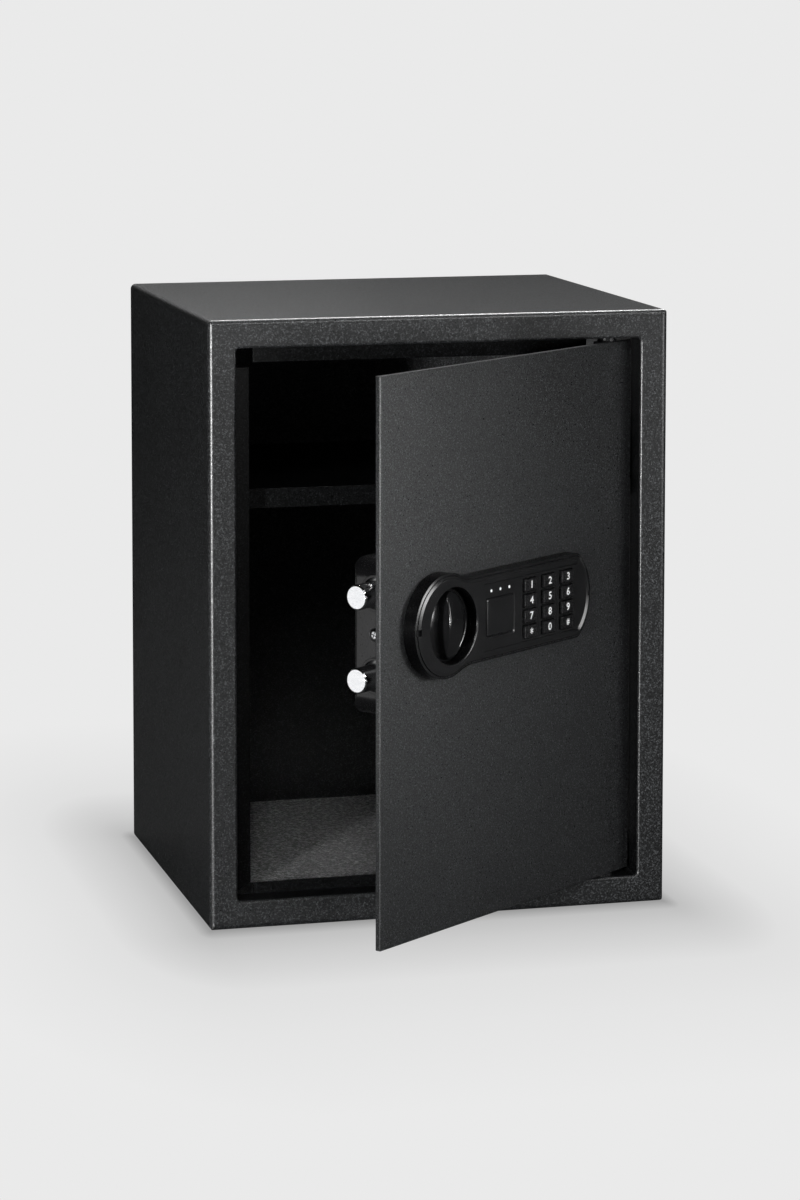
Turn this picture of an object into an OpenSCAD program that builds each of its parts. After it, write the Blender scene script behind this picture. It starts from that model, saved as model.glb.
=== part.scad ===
/* [Cabinet] */
// Width of the cabinet
body_w = 350; // [330:1:420]
// Height of the cabinet
body_h = 450; // [430:1:600]
// Depth of the cabinet
body_d = 300; // [260:1:400]
// Thickness of the cabinet's sheet steel
sheet_t = 2; // [1.5:0.1:2.8]
// Outside radius of the cabinet's folded edges
edge_r = 4; // [3.2:0.1:6]
// Width of the front frame's face
frame_w = 21; // [18:0.5:26]
// Radius of the door opening's corners
opening_r = 3; // [2:0.5:5]
// Width of the fold that stiffens the back panel's edge
back_fold = 12; // [8:1:20]

/* [Anchor holes] */
// Radius of each anchor hole
anchor_r = 6; // [4:0.5:8]
// Distance between the two anchor holes of a row
anchor_gap = 200; // [140:5:240]
// Height of the back panel's anchor holes
back_anchor_z = 300; // [120:5:380]

/* [Door frame] */
// Thickness of the frame strip behind the front face
strip_t = 2; // [1.5:0.1:2.5]
// Depth from the front face to the stop flange
reveal_depth = 21; // [19:0.5:24]
// Width of the stop flange on the lock side
stop_side = 14; // [12:0.5:15]
// Width of the stop flange at the top
stop_top = 12.5; // [8:0.5:16]
// Width of the stop flange at the bottom
stop_bottom = 8; // [6:0.5:9]
// Size of the open notch in the frame's upper corner
corner_notch = 16; // [14:0.5:20]
// Width of the seams between the folded flanges
seam_w = 0.7; // [0.4:0.1:1.2]
// Distance from the hinge axis to the end of the stop flanges
stop_end_gap = 12; // [11:0.5:18]

/* [Interior] */
// Height of the raised floor's top face
deck_z = 24.5; // [20:0.5:26]
// Thickness of the raised floor and the shelf
tray_t = 1.5; // [1:0.1:2]
// Thickness of the felt mat
mat_t = 3.5; // [2:0.5:5]
// Height of the shelf's top face
shelf_z = 319.5; // [310:1:360]
// Height of the shelf's folded front lip
shelf_lip = 14.5; // [10:0.5:20]
// Distance from the cabinet's front to the shelf's front edge
shelf_setback = 45; // [40:1:90]
// Width of the angle strips that carry the shelf
support_w = 14; // [10:1:20]

/* [Door] */
// Thickness of the door plate
door_t = 4.5; // [4:0.1:5]
// Distance from the front face back to the door's face
door_recess = 2; // [0.5:0.1:3]
// Gap beside the door's free edge
gap_free = 1.5; // [1:0.1:2.5]
// Gap beside the door's hinge edge
gap_hinge = 2; // [1.6:0.1:3]
// Gap above and below the door
gap_ends = 2.8; // [2:0.1:3.5]
// Rounding of the door plate's edges
door_edge_r = 0.8; // [0.4:0.1:1.2]
// How far the door stands open at rest, in degrees
door_open = 37.5; // [0:0.5:90]
// Distance from the hinge edge to the hinge axis
pivot_inset = 22; // [20:0.5:24]
// Radius of the hinge pins
pin_r = 3; // [2.5:0.1:3.2]
// Length of each hinge pin
pin_len = 42; // [36:1:50]
// Width of the hinge blocks
hinge_block_w = 16; // [12:1:18]
// Height of the hinge blocks
hinge_block_h = 36; // [30:1:45]

/* [Keypad housing] */
// Height of the housing's centre line
house_z = 245; // [235:1:255]
// Radius of the housing's round end
ring_r = 37.5; // [36:0.5:40]
// Distance from the door's free edge to the round end's centre
ring_u = 63.5; // [60:0.5:68]
// Distance from the door's free edge to the housing's far end
house_end = 238; // [234:1:246]
// Radius of the curve at the housing's far end
end_r = 40; // [37:0.5:42]
// Height of the housing's straight body
house_h = 63; // [61:0.5:68]
// How far the housing stands off the door
house_depth = 12; // [11:0.5:14]
// Wall thickness of the housing
house_wall = 2.2; // [1.6:0.1:2.6]
// Width of the stepped rim round the housing's face
rim_step = 2; // [1:0.1:3]
// Radius of the hollow in the neck beside the round end
neck_r = 40; // [25:1:50]
// Radius of the corners at the far end
house_corner_r = 8; // [5:0.5:12]
// Width of the pry notches at the rim's two ends
pry_w = 4.5; // [3:0.5:6]

/* [Knob] */
// Distance from the door's free edge to the knob's axis
knob_u = 69; // [68:0.5:71]
// Radius of the well that holds the knob
well_r = 27.3; // [26:0.1:28]
// Gap between the knob's disc and the well
well_gap = 0.5; // [0.3:0.1:0.9]
// Thickness of the knob's disc
disc_t = 3; // [2:0.5:4]
// Height of the grip above the disc
grip_h = 11; // [8:0.5:13]
// Width of the grip at its middle
grip_mid_w = 17.5; // [16:0.5:22]
// Width of the grip at its ends
grip_end_w = 13; // [10:0.5:15]
// How much lower the grip is at its ends than at its middle
grip_arch = 6; // [2:0.5:7]
// Length of the grip
grip_len = 49; // [44:0.5:51]
// Radius of the knob's shaft
shaft_r = 4; // [3.2:0.1:4.4]

/* [Keys and lamps] */
// Width of one key
key_w = 14; // [12:0.5:15]
// Height of one key
key_h = 8.6; // [7.5:0.1:8.8]
// Gap round each key
key_gap = 0.4; // [0.3:0.05:0.5]
// How far a key stands out of the housing's face
key_proud = 1.5; // [0.8:0.1:2.5]
// Distance between the key columns
key_pitch_u = 22.7; // [20:0.1:23]
// Distance between the key rows
key_pitch_z = 11.3; // [11.2:0.1:11.6]
// Distance from the door's free edge to the middle of the middle column
keys_u = 182; // [178:0.5:184]
// How far a key travels
key_travel = 0.6; // [0.4:0.05:0.7]
// Radius of one lamp
lamp_r = 1.6; // [1.2:0.1:2]
// Distance between the lamps
lamp_pitch = 10.8; // [8:0.1:11]
// Height of the lamps above the housing's centre line
lamp_rise = 18.5; // [17.5:0.5:20]

/* [Key lock] */
// Distance from the door's free edge to the key lock's axis
keylock_u = 123.5; // [122:0.5:126]
// Radius of the key lock's body
keylock_r = 9.8; // [8:0.1:10.2]
// Width of the cover plate over the key lock
flap_w = 32; // [29:0.5:33]
// Height of the cover plate over the key lock
flap_h = 27; // [25:0.5:29]
// Thickness of the cover plate
flap_t = 1.5; // [1:0.1:1.8]

/* [Bolt work] */
// Height of the bolts' middle line
lock_z = 237.5; // [236:0.5:240]
// Radius of the bolts
bolt_r = 9; // [8:0.1:9.4]
// Distance between the bolts
bolt_pitch = 59; // [58:0.5:64]
// Distance from the door's face to the bolts' axes
bolt_v = 34; // [33:0.5:35]
// Distance from the door's free edge to the drawn-back bolts' tips
bolt_tip_u = 16; // [16:0.5:20]
// Length of the bolts
bolt_len = 80; // [79:0.5:83]
// How far the bolts are thrown
bolt_throw = 20; // [16:0.5:21]
// Thickness of the bolt carriage
carriage_t = 2.5; // [2:0.1:3]
// Radius of the cam's drive pin
drive_r = 3; // [2.5:0.1:3.4]
// Thickness of the lock chassis sheet
chassis_t = 2; // [1.5:0.1:2.2]
// Radius of the solenoid's plunger
plunger_r = 2.4; // [1.8:0.1:2.4]
// How far the plunger travels
plunger_travel = 6; // [5:0.5:6]

/* [Inner cover] */
// Distance from the door's free edge to the cover's near end
cover_u = 38; // [37:0.5:39.5]
// Length of the cover
cover_len = 152; // [151:0.5:165]
// Height of the cover
cover_h = 113; // [112:0.5:125]
// Distance from the door's face to the cover's back
cover_v = 54.5; // [54:0.5:60]
// Wall thickness of the cover
cover_t = 1.5; // [1.2:0.1:1.8]
// Radius of the cover's upright corners
cover_corner_r = 14; // [8:0.5:16]
// Radius of the edge round the cover's back
cover_edge_r = 3.5; // [2.5:0.5:5]
// Gap round each bolt where it leaves the cover
bolt_hole_gap = 2.3; // [1:0.1:3]
// Width of the battery lid
lid_w = 62; // [50:1:64]
// Height of the battery lid
lid_h = 60; // [50:1:64]

/* [Hidden] */
$fn = 64;

// Clearances
eps = 0.01;
arc_cross = 0.01;
weld_gap = 0.2;
seat_gap = 0.3;
run_gap = 0.05;
press_gap = 0.02;
through = 1;
mat_inset = 1;

// Cabinet
front_y = -body_d / 2;
back_y = body_d / 2;
open_w = body_w - 2 * frame_w;
open_z0 = frame_w;
open_z1 = body_h - frame_w;
open_h = open_z1 - open_z0;
inner_w = body_w - 2 * sheet_t;
stop_y0 = front_y + reveal_depth;
stop_y1 = stop_y0 + strip_t;
deck_half = inner_w / 2 - (edge_r - sheet_t) - seat_gap;
deck_y0 = stop_y1 + 2 * seat_gap;
deck_y1 = back_y - sheet_t - back_fold - seat_gap;
shelf_y0 = front_y + shelf_setback;
shelf_y1 = back_y - sheet_t - back_fold - seat_gap;
support_z1 = shelf_z - tray_t;

// Door, in its closed place: u runs from the free edge, v inwards from the outer face
door_w = open_w - gap_free - gap_hinge;
door_h = open_h - 2 * gap_ends;
door_z0 = open_z0 + gap_ends;
door_z1 = open_z1 - gap_ends;
door_left = -open_w / 2 + gap_free;
door_y = front_y + door_recess;
pivot_u = door_w - pivot_inset;
pivot_v = door_t + pin_r;
swing_r = sqrt(pivot_inset * pivot_inset + pivot_v * pivot_v);
pivot_x = door_left + pivot_u;
pivot_y = door_y + pivot_v;
swing_x = pivot_x - hinge_block_w / 2;
swing_y = pivot_y + swing_r + 1;
hinge_block_t = 2 * pin_r + 3;
bush_wall = 2;
bush_lip = 2;
bush_r = pin_r + bush_wall;
bush_flange_r = bush_r + bush_lip;
pin_out = 9;

// Keypad housing
face_v = -house_depth;
rim_drop = 1.8;
step_v = face_v + rim_drop;
under_v = face_v + house_wall;
arc_u = house_end - end_r;
boss_r = 4;
boss_screw_r = 1.95;
screw_head_r = 3.6;
screw_head_t = 1.8;
screw_side = 20;
screw_rise = 22;
screw_spots = [
    [ring_u - ring_r + house_wall + boss_r, house_z],
    [keylock_u - screw_side, house_z + screw_rise],
    [keylock_u - screw_side, house_z - screw_rise],
    [house_end - house_wall - boss_r, house_z]
];
panel_line_w = 0.5;
panel_line_z = 24;
panel_end_inset = 12;
tail_wall_half = 20;
mat_v = -7.4;
board_v = -5.6;
board_t = 1.6;
board_arm = 14;
dome_h = 0.4;
dome_r = 3.2;
key_flange_v = under_v + 0.2;
key_bottom_v = mat_v - dome_h - key_travel - 0.1;
key_flange_w = 1;
key_names = ["key_1", "key_2", "key_3", "key_4", "key_5", "key_6", "key_7", "key_8", "key_9",
             "key_star", "key_0", "key_hash"];

// Knob
knob_z = house_z - 0.5;
disc_r = well_r - well_gap;
disc_v1 = -1;
disc_v0 = disc_v1 - disc_t;
hub_r = shaft_r + 2;
hub_v1 = door_t - 1;
shaft_v0 = disc_v0 - 5;
cam_t = 3;
cam_v0 = door_t + chassis_t + 1.5;
carriage_v0 = cam_v0 + cam_t + 1;
carriage_v1 = carriage_v0 + carriage_t;
shaft_v1 = carriage_v0 - 0.5;
drive_orbit = bolt_throw / 2 / sin(45);
slot_play = 0.7;

// Key lock
flap_gap = 0.3;
flap_v0 = face_v;
keylock_z = house_z - 0.5;
keylock_v0 = face_v + flap_t + 0.7;
keylock_v1 = carriage_v0 - 3.6;
keylock_flange_r = keylock_r + 1.8;
core_r = 6;
key_slot_w = 1.6;
key_slot_h = 7;
key_slot_deep = 12;
tail_side = 4;
cam_lever_len = 13;
cam_lever_w = 7;
cam_lever_t = 1.8;

// Inner cover
cover_drop = 3;
cover_z0 = lock_z - cover_h / 2 - cover_drop;
cover_hole_lip = 1.7;
cover_lip_t = 0.8;
chassis_side_gap = 2.5;
chassis_end_gap = 7;

// Bolt work
bolt_rear_u = bolt_tip_u + bolt_len;
tab_u1 = bolt_rear_u + carriage_t;
tenon_r = 4;
bolt_chamfer = 1;
end_screw_r = 1.95;
end_screw_head_r = 4.8;
tail_screw_v = 20;
chassis_u0 = cover_u + cover_t + chassis_side_gap;
chassis_u1 = cover_u + cover_len - cover_t - chassis_side_gap;
chassis_z0 = cover_z0 + cover_t + chassis_end_gap;
chassis_z1 = cover_z0 + cover_h - cover_t - chassis_end_gap;
end_wall_v = bolt_v + bolt_r + 5;
end_wall_half = bolt_pitch / 2 + bolt_r + 3;
tail_v = tail_screw_v + end_screw_head_r + 1;
plate_u0 = knob_u - 3;
tail_half = 8.5;
plunger_u = tab_u1 + 10.5;
plunger_v = (carriage_v0 + carriage_v1) / 2;
tail_u1 = plunger_u + bolt_throw + 7;
notch_half = plunger_r + 0.3;
plunger_tip_z = knob_z - tail_half - 2;
notch_z = plunger_tip_z + plunger_travel + 0.8;
coil_len = 23.2;
coil_z1 = plunger_tip_z - plunger_travel - 0.4;
coil_z0 = coil_z1 - coil_len;
coil_r = plunger_v - door_t - chassis_t - 0.75;
frame_t = 1.2;
solenoid_half = 8;
solenoid_v1 = plunger_v + coil_r + 0.5;
plunger_z0 = coil_z0 + 4.6;
spring_r = plunger_r - 0.5;
spring_wire_r = 0.3;
spring_turns = 6;
guide_r = 2.5;
guide_u = knob_u + 2;
guide_spread = 22.5;
guide_z = [knob_z - guide_spread, knob_z + guide_spread];
guide_head_r = 4;
stud_r = 2;
stud_side = 9;
stud_end = 6;
board_side = 4;
board_w = 30;
main_u1 = chassis_u1 - board_side;
main_u0 = main_u1 - board_w;
stud_spots = [
    for (u = [chassis_u0 + stud_side, main_u0 - stud_side],
         z = [chassis_z0 + stud_end, chassis_z1 - stud_end])
        [u, z]
];
nut_r = 4.2;
nut_t = 3.2;

// Electronics
main_z0 = chassis_z0 + 2;
main_z1 = chassis_z1 - 2;
main_v0 = door_t + chassis_t + 2.5;
main_v1 = main_v0 + board_t;
post_r = 2.5;
lead_u = main_u0 + 14;
lead_hole_r = 5;
lead_r = 1.6;
battery_lead_rise = 14;
cell_r = 7.1;
cell_len = 50.5;
cell_gap = 0.4;
holder_t = 1.5;
holder_w = 4 * (2 * cell_r + cell_gap) + cell_gap + 2 * holder_t;
holder_h = cell_len + 8 + 2 * holder_t;
holder_u1 = chassis_u1 - 1.5;
holder_u0 = holder_u1 - holder_w;
holder_v1 = cover_v - cover_t;
holder_v0 = holder_v1 - 2 * cell_r - holder_t - 2.5;
lid_mid_u = (holder_u0 + holder_u1) / 2;
lid_t = cover_t;
lid_gap = 0.3;
reset_u = main_u1 - 6;
reset_z = main_z1 - 4;
reset_r = 2.9;
reset_gap = 0.3;
reset_travel = 1.2;
reset_tube_r = reset_r + reset_gap + 1.2;
reset_tube_len = 14;
rib_len = 20;
rib_w = 1.2;
rib_pitch = 3;
switch_h = 8;
switch_v1 = main_v1 + switch_h;

// A rectangle with round corners, from its low corner
module soft_rect(w, h, r) {
    translate([r, 0]) square([w - 2 * r, h]);
    translate([0, r]) square([w, h - 2 * r]);
    for (x = [r, w - r], y = [r, h - r]) translate([x, y]) circle(r);
}

// The same with only the two corners at the low x side round
module front_round_rect(w, h, r) {
    translate([r, 0]) square([w - r, h]);
    translate([0, r]) square([w, h - 2 * r]);
    for (y = [r, h - r]) translate([r, y]) circle(r);
}

// Extrudes a shape drawn in x and z over the depths y0 to y1
module over_depth(y0, y1) {
    translate([0, y1, 0]) rotate([90, 0, 0]) linear_extrude(y1 - y0) children();
}

// A box whose long edges are round with radius r, and whose front edges are round with front_r
module folded_box(w, d, h, r, front_r) {
    intersection() {
        over_depth(0, d) translate([-w / 2, 0]) soft_rect(w, h, r);
        translate([-w / 2, 0, 0]) rotate([90, 0, 90]) linear_extrude(w) front_round_rect(d, h, front_r);
        translate([w / 2, 0, 0]) rotate([0, 0, 90]) linear_extrude(h) front_round_rect(d, w, front_r);
    }
}

// A plate with every edge round, from its low corner
module soft_plate(w, t, h, r) {
    intersection() {
        over_depth(0, t) soft_rect(w, h, r);
        rotate([90, 0, 90]) linear_extrude(w) soft_rect(t, h, r);
        linear_extrude(h) soft_rect(w, t, r);
    }
}

// A round bar bent round a rectangle w by h whose corners have radius r, just outside it
module rolled_ring(w, h, r, bar_r) {
    for (side = [-1, 1]) {
        translate([-w / 2 + r, side * (h / 2 + bar_r), 0]) rotate([0, 90, 0])
            cylinder(r = bar_r, h = w - 2 * r);
        translate([side * (w / 2 + bar_r), -h / 2 + r, 0]) rotate([-90, 0, 0])
            cylinder(r = bar_r, h = h - 2 * r);
    }
    for (turn = [0 : 3]) {
        corner_x = (turn == 0 || turn == 3) ? w / 2 - r : -w / 2 + r;
        corner_y = (turn < 2) ? h / 2 - r : -h / 2 + r;
        translate([corner_x, corner_y, 0]) rotate([0, 0, 90 * turn])
            rotate_extrude(angle = 90) translate([r + bar_r, 0]) circle(bar_r);
    }
}

module box_between(low, high) {
    translate(low) cube(high - low);
}

// A straight rod between two points on a line along u, v or z
module rod_u(v, z, r, u0, u1) {
    translate([u0, v, z]) rotate([0, 90, 0]) cylinder(r = r, h = u1 - u0);
}
module rod_v(u, z, r, v0, v1) {
    translate([u, v1, z]) rotate([90, 0, 0]) cylinder(r = r, h = v1 - v0);
}
module rod_z(u, v, r, z0, z1) {
    translate([u, v, z0]) cylinder(r = r, h = z1 - z0);
}

// Puts pieces drawn in u, v and z on the door where it stands at rest
module on_door() {
    translate([pivot_x, pivot_y, 0]) rotate([0, 0, door_open])
        translate([-pivot_u, -pivot_v, 0]) children();
}

module opening_shape(grow) {
    translate([-open_w / 2 - grow, open_z0 - grow])
        soft_rect(open_w + 2 * grow, open_h + 2 * grow, opening_r + grow);
}

// Folded wrap of top, bottom and sides with its front face
module cabinet_shell() {
    color([0.13, 0.135, 0.14]) {
        difference() {
            translate([0, front_y, 0]) folded_box(body_w, body_d, body_h, edge_r, edge_r);
            translate([0, front_y + sheet_t, sheet_t])
                folded_box(inner_w, body_d, body_h - 2 * sheet_t, edge_r - sheet_t, edge_r - sheet_t);
            over_depth(front_y - through, front_y + sheet_t + through) opening_shape(sheet_t);
            for (side = [-1, 1]) rod_z(side * anchor_gap / 2, 0, anchor_r, -through, sheet_t + through);
        }
        intersection() {
            translate([0, front_y + sheet_t, open_z0 + open_h / 2]) rotate([90, 0, 0])
                rolled_ring(open_w, open_h, opening_r, sheet_t);
            box_between([-body_w / 2, front_y, 0], [body_w / 2, front_y + sheet_t, body_h]);
        }
    }
}

// Welded back with a fold round its edge
module back_panel() {
    panel_w = inner_w - 2 * weld_gap;
    panel_h = body_h - 2 * sheet_t - 2 * weld_gap;
    low_x = -panel_w / 2;
    low_z = sheet_t + weld_gap;
    color([0.12, 0.125, 0.13]) difference() {
        over_depth(back_y - sheet_t - back_fold, back_y)
            translate([low_x, low_z]) soft_rect(panel_w, panel_h, edge_r - sheet_t);
        over_depth(back_y - sheet_t - back_fold - through, back_y - sheet_t)
            translate([low_x + sheet_t, low_z + sheet_t])
                square([panel_w - 2 * sheet_t, panel_h - 2 * sheet_t]);
        for (side = [-1, 1])
            rod_v(side * anchor_gap / 2, back_anchor_z, anchor_r, back_y - sheet_t - through,
                back_y + through);
    }
}

// The stop flanges seen from the front, with the open notch and the mitred lower corner
module stop_shape() {
    left = -open_w / 2;
    stop_end = pivot_x - stop_end_gap;
    inner_x = left + stop_side;
    inner_z = open_z0 + stop_bottom;
    cut_x = inner_x + 3;
    polygon([[left, open_z0 + seam_w], [left, open_z1 - corner_notch], [inner_x, open_z1 - corner_notch],
             [inner_x, inner_z + seam_w]]);
    polygon([[left, open_z0], [cut_x - seam_w, open_z0], [cut_x - seam_w, inner_z], [inner_x, inner_z]]);
    translate([cut_x, open_z0 - eps]) square([stop_end - cut_x, stop_bottom + eps]);
    translate([left + corner_notch + 1, open_z1 - stop_top])
        square([stop_end - left - corner_notch - 1, stop_top + eps]);
}

// Reveal strip round the opening with the flanges that stop the door
module door_frame() {
    color([0.11, 0.115, 0.12]) difference() {
        union() {
            over_depth(front_y + sheet_t, stop_y1) difference() {
                opening_shape(strip_t);
                opening_shape(0);
            }
            over_depth(stop_y0, stop_y1) intersection() {
                stop_shape();
                opening_shape(strip_t / 2);
            }
        }
        rod_z(pivot_x, pivot_y, bush_r + run_gap, open_z1 - through, open_z1 + strip_t + through);
        rod_z(pivot_x, pivot_y, bush_r + run_gap, open_z0 - strip_t - through, open_z0 + through);
    }
}

// The floor seen from above; its front corner leaves room for the door's hinge edge to swing
module deck_shape(inset) {
    difference() {
        translate([-deck_half + inset, deck_y0 + inset])
            square([2 * (deck_half - inset), deck_y1 - deck_y0 - 2 * inset]);
        translate([swing_x - inset, front_y]) square([body_w, swing_y + inset - front_y]);
    }
}

// Raised floor, a tray turned upside down over the anchor bolts
module floor_deck() {
    color([0.1, 0.1, 0.105]) difference() {
        translate([0, 0, sheet_t]) linear_extrude(deck_z - sheet_t) deck_shape(0);
        translate([0, 0, sheet_t - through]) linear_extrude(deck_z - tray_t - sheet_t + through)
            deck_shape(tray_t);
    }
}

module floor_mat() {
    color([0.16, 0.165, 0.17]) translate([0, 0, deck_z]) linear_extrude(mat_t) deck_shape(mat_inset);
}

module shelf() {
    half = inner_w / 2 - 2 * seat_gap;
    color([0.12, 0.12, 0.125]) {
        box_between([-half, shelf_y0, shelf_z - tray_t], [half, shelf_y1, shelf_z]);
        box_between([-half + support_w + 1, shelf_y0, shelf_z - shelf_lip],
            [half - support_w - 1, shelf_y0 + tray_t, shelf_z]);
    }
}

// Two angle strips welded to the side walls
module shelf_supports() {
    wall = inner_w / 2;
    color([0.12, 0.12, 0.125]) for (side = [0, 1]) mirror([side, 0, 0]) {
        box_between([wall - support_w, shelf_y0 + 2, support_z1 - tray_t], [wall, shelf_y1, support_z1]);
        box_between([wall - tray_t, shelf_y0 + 2, support_z1 - support_w], [wall, shelf_y1, support_z1]);
    }
}

// Flanged bush, drawn for the upper hinge with its flange's top at z = 0
module hinge_bush() {
    flange_t = gap_ends - seat_gap;
    bush_top = 1.5 * strip_t;
    difference() {
        union() {
            rod_z(0, 0, bush_flange_r, -flange_t, 0);
            rod_z(0, 0, bush_r, -flange_t, bush_top);
        }
        rod_z(0, 0, pin_r + run_gap, -flange_t - through, bush_top + through);
    }
}

module hinge_bushes() {
    color([0.85, 0.84, 0.8]) translate([pivot_x, pivot_y, 0]) {
        translate([0, 0, open_z1]) hinge_bush();
        translate([0, 0, open_z0]) mirror([0, 0, 1]) hinge_bush();
    }
}

module door_panel() {
    color([0.13, 0.135, 0.14]) on_door() {
        difference() {
            translate([0, 0, door_z0]) soft_plate(door_w, door_t, door_h, door_edge_r);
            rod_v(knob_u, knob_z, hub_r + run_gap, -through, door_t + through);
            rod_v(keylock_u, keylock_z, keylock_r + weld_gap, -through, door_t + through);
            rod_v(lead_u, lock_z, lead_hole_r, -through, door_t + through);
            for (spot = screw_spots) rod_v(spot[0], spot[1], boss_screw_r + 0.25, -through, door_t + through);
        }
        for (spot = stud_spots) rod_v(spot[0], spot[1], stud_r, door_t - eps, door_t + 6.5);
    }
}

// Blocks welded behind the door plate, one at each end of the hinge edge
module hinge_blocks() {
    color([0.12, 0.125, 0.13]) on_door() for (end = [0, 1]) {
        z0 = end == 0 ? door_z0 : door_z1 - hinge_block_h;
        difference() {
            box_between([pivot_u - hinge_block_w / 2, door_t, z0],
                        [pivot_u + hinge_block_w / 2, door_t + hinge_block_t, z0 + hinge_block_h]);
            rod_z(pivot_u, pivot_v, pin_r + press_gap, z0 - through, z0 + hinge_block_h + through);
        }
    }
}

module hinge_pins() {
    color([0.75, 0.75, 0.76]) on_door() {
        rod_z(pivot_u, pivot_v, pin_r, open_z0 - pin_out, open_z0 - pin_out + pin_len);
        rod_z(pivot_u, pivot_v, pin_r, open_z1 + pin_out - pin_len, open_z1 + pin_out);
    }
}

// One hollow of the neck between the round end and the straight body
module neck_fillet(i) {
    big = ring_r + neck_r;
    rise = house_h / 2 + neck_r;
    run = sqrt(big * big - rise * rise);
    touch = (ring_r - i) / big;
    difference() {
        polygon([[0, 0], [run * touch, rise * touch], [run, rise], [run, 0]]);
        translate([run, rise]) circle(neck_r + i + arc_cross);
    }
}

// The housing's outline seen from the front, drawn i inside its true edge
module housing_outline(i) {
    half = house_h / 2 - i;
    corner = house_corner_r - i;
    corner_z = half - corner;
    corner_run = sqrt(pow(end_r - house_corner_r, 2) - corner_z * corner_z);
    translate([ring_u, house_z]) {
        circle(ring_r - i);
        neck_fillet(i);
        mirror([0, 1]) neck_fillet(i);
        translate([0, -half]) square([arc_u - ring_u + corner_run, 2 * half]);
    }
    translate([arc_u, house_z]) {
        for (side = [-1, 1]) translate([corner_run, side * corner_z]) circle(corner + arc_cross);
        intersection() {
            circle(end_r - i);
            polygon([[0, 0], [3 * corner_run, -3 * corner_z], [3 * corner_run, 3 * corner_z]]);
        }
    }
}

// Places each key's middle; name picks one of them or all
module at_keys(name) {
    for (i = [0 : 11]) if (name == "" || name == key_names[i])
        translate([keys_u + (i % 3 - 1) * key_pitch_u, 0, house_z + (1.5 - floor(i / 3)) * key_pitch_z])
            children();
}

module block_uz(w, h, v0, v1) {
    box_between([-w / 2, v0, -h / 2], [w / 2, v1, h / 2]);
}

module keypad_housing() {
    color([0.06, 0.06, 0.065]) on_door() difference() {
        union() {
            difference() {
                union() {
                    over_depth(step_v, 0) housing_outline(0);
                    over_depth(face_v, step_v + eps) housing_outline(rim_step);
                }
                over_depth(under_v, through) housing_outline(house_wall + rim_step);
            }
            rod_v(knob_u, knob_z, well_r + house_wall, under_v - eps, -weld_gap);
            for (spot = screw_spots) rod_v(spot[0], spot[1], boss_r, under_v - eps, -weld_gap);
            rod_v(keylock_u, keylock_z, keylock_flange_r + 2, under_v - eps, under_v + 2);
        }
        rod_v(knob_u, knob_z, well_r, face_v - through, through);
        for (spot = screw_spots) rod_v(spot[0], spot[1], boss_screw_r + press_gap, under_v + 1, through);
        at_keys("") block_uz(key_w + 2 * key_gap, key_h + 2 * key_gap, face_v - through, under_v + through);
        for (k = [-1 : 1])
            rod_v(keylock_u + k * lamp_pitch, house_z + lamp_rise, lamp_r + press_gap, face_v - through,
                under_v + through);
        translate([keylock_u, 0, keylock_z])
            block_uz(flap_w + 2 * flap_gap, flap_h + 2 * flap_gap, face_v - through, face_v + flap_t + 0.1);
        rod_v(keylock_u, keylock_z, keylock_r + 0.6, face_v, through);
        for (side = [-1, 1])
            box_between([knob_u + well_r + 2, face_v - through,
                house_z + side * panel_line_z - panel_line_w / 2],
                        [house_end - panel_end_inset, face_v + panel_line_w,
                            house_z + side * panel_line_z + panel_line_w / 2]);
        for (end_u = [ring_u - ring_r - through, house_end - 3])
            box_between([end_u, face_v - through, house_z - pry_w / 2],
                [end_u + 4, face_v + 3, house_z + pry_w / 2]);
    }
}

// Screws that hold the housing from inside the door
module housing_screws() {
    color([0.7, 0.7, 0.72]) on_door() for (spot = screw_spots) {
        rod_v(spot[0], spot[1], boss_screw_r, under_v + 2, door_t);
        rod_v(spot[0], spot[1], screw_head_r, door_t, door_t + screw_head_t);
    }
}

module led_lenses() {
    color([0.9, 0.92, 0.9]) on_door() for (k = [-1 : 1])
        rod_v(keylock_u + k * lamp_pitch, house_z + lamp_rise, lamp_r, face_v - 0.4, board_v);
}

// Rubber sheet with a dome under each key
module key_mat() {
    half_w = key_pitch_u + key_w / 2 + 3;
    half_h = 1.5 * key_pitch_z + key_h / 2 + 4;
    color([0.3, 0.3, 0.31]) on_door() {
        translate([keys_u, 0, house_z]) block_uz(2 * half_w, 2 * half_h, mat_v, board_v);
        at_keys("") rod_v(0, 0, dome_r, mat_v - dome_h, mat_v + eps);
    }
}

// Circuit board under the keys, with an arm under the lamps
module keypad_board() {
    half_w = key_pitch_u + key_w / 2 + 4;
    half_h = 1.5 * key_pitch_z + key_h / 2 + 5.5;
    arm_z0 = keylock_z + keylock_flange_r + 1.2;
    color([0.05, 0.3, 0.12]) on_door() {
        translate([keys_u, 0, house_z]) block_uz(2 * half_w, 2 * half_h, board_v, board_v + board_t);
        box_between([keylock_u - board_arm, board_v, arm_z0],
            [keys_u - half_w + eps, board_v + board_t, house_z + half_h]);
    }
}

module keyhole_cover() {
    color([0.07, 0.07, 0.075]) on_door() translate([keylock_u, 0, keylock_z])
        block_uz(flap_w, flap_h, flap_v0, flap_v0 + flap_t);
}

module keylock_body() {
    color([0.7, 0.68, 0.6]) on_door() difference() {
        union() {
            rod_v(keylock_u, keylock_z, keylock_r, keylock_v0, keylock_v1);
            rod_v(keylock_u, keylock_z, keylock_flange_r, -1.2, 0);
        }
        rod_v(keylock_u, keylock_z, core_r + run_gap, keylock_v0 - through, keylock_v1 + through);
    }
}

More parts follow.
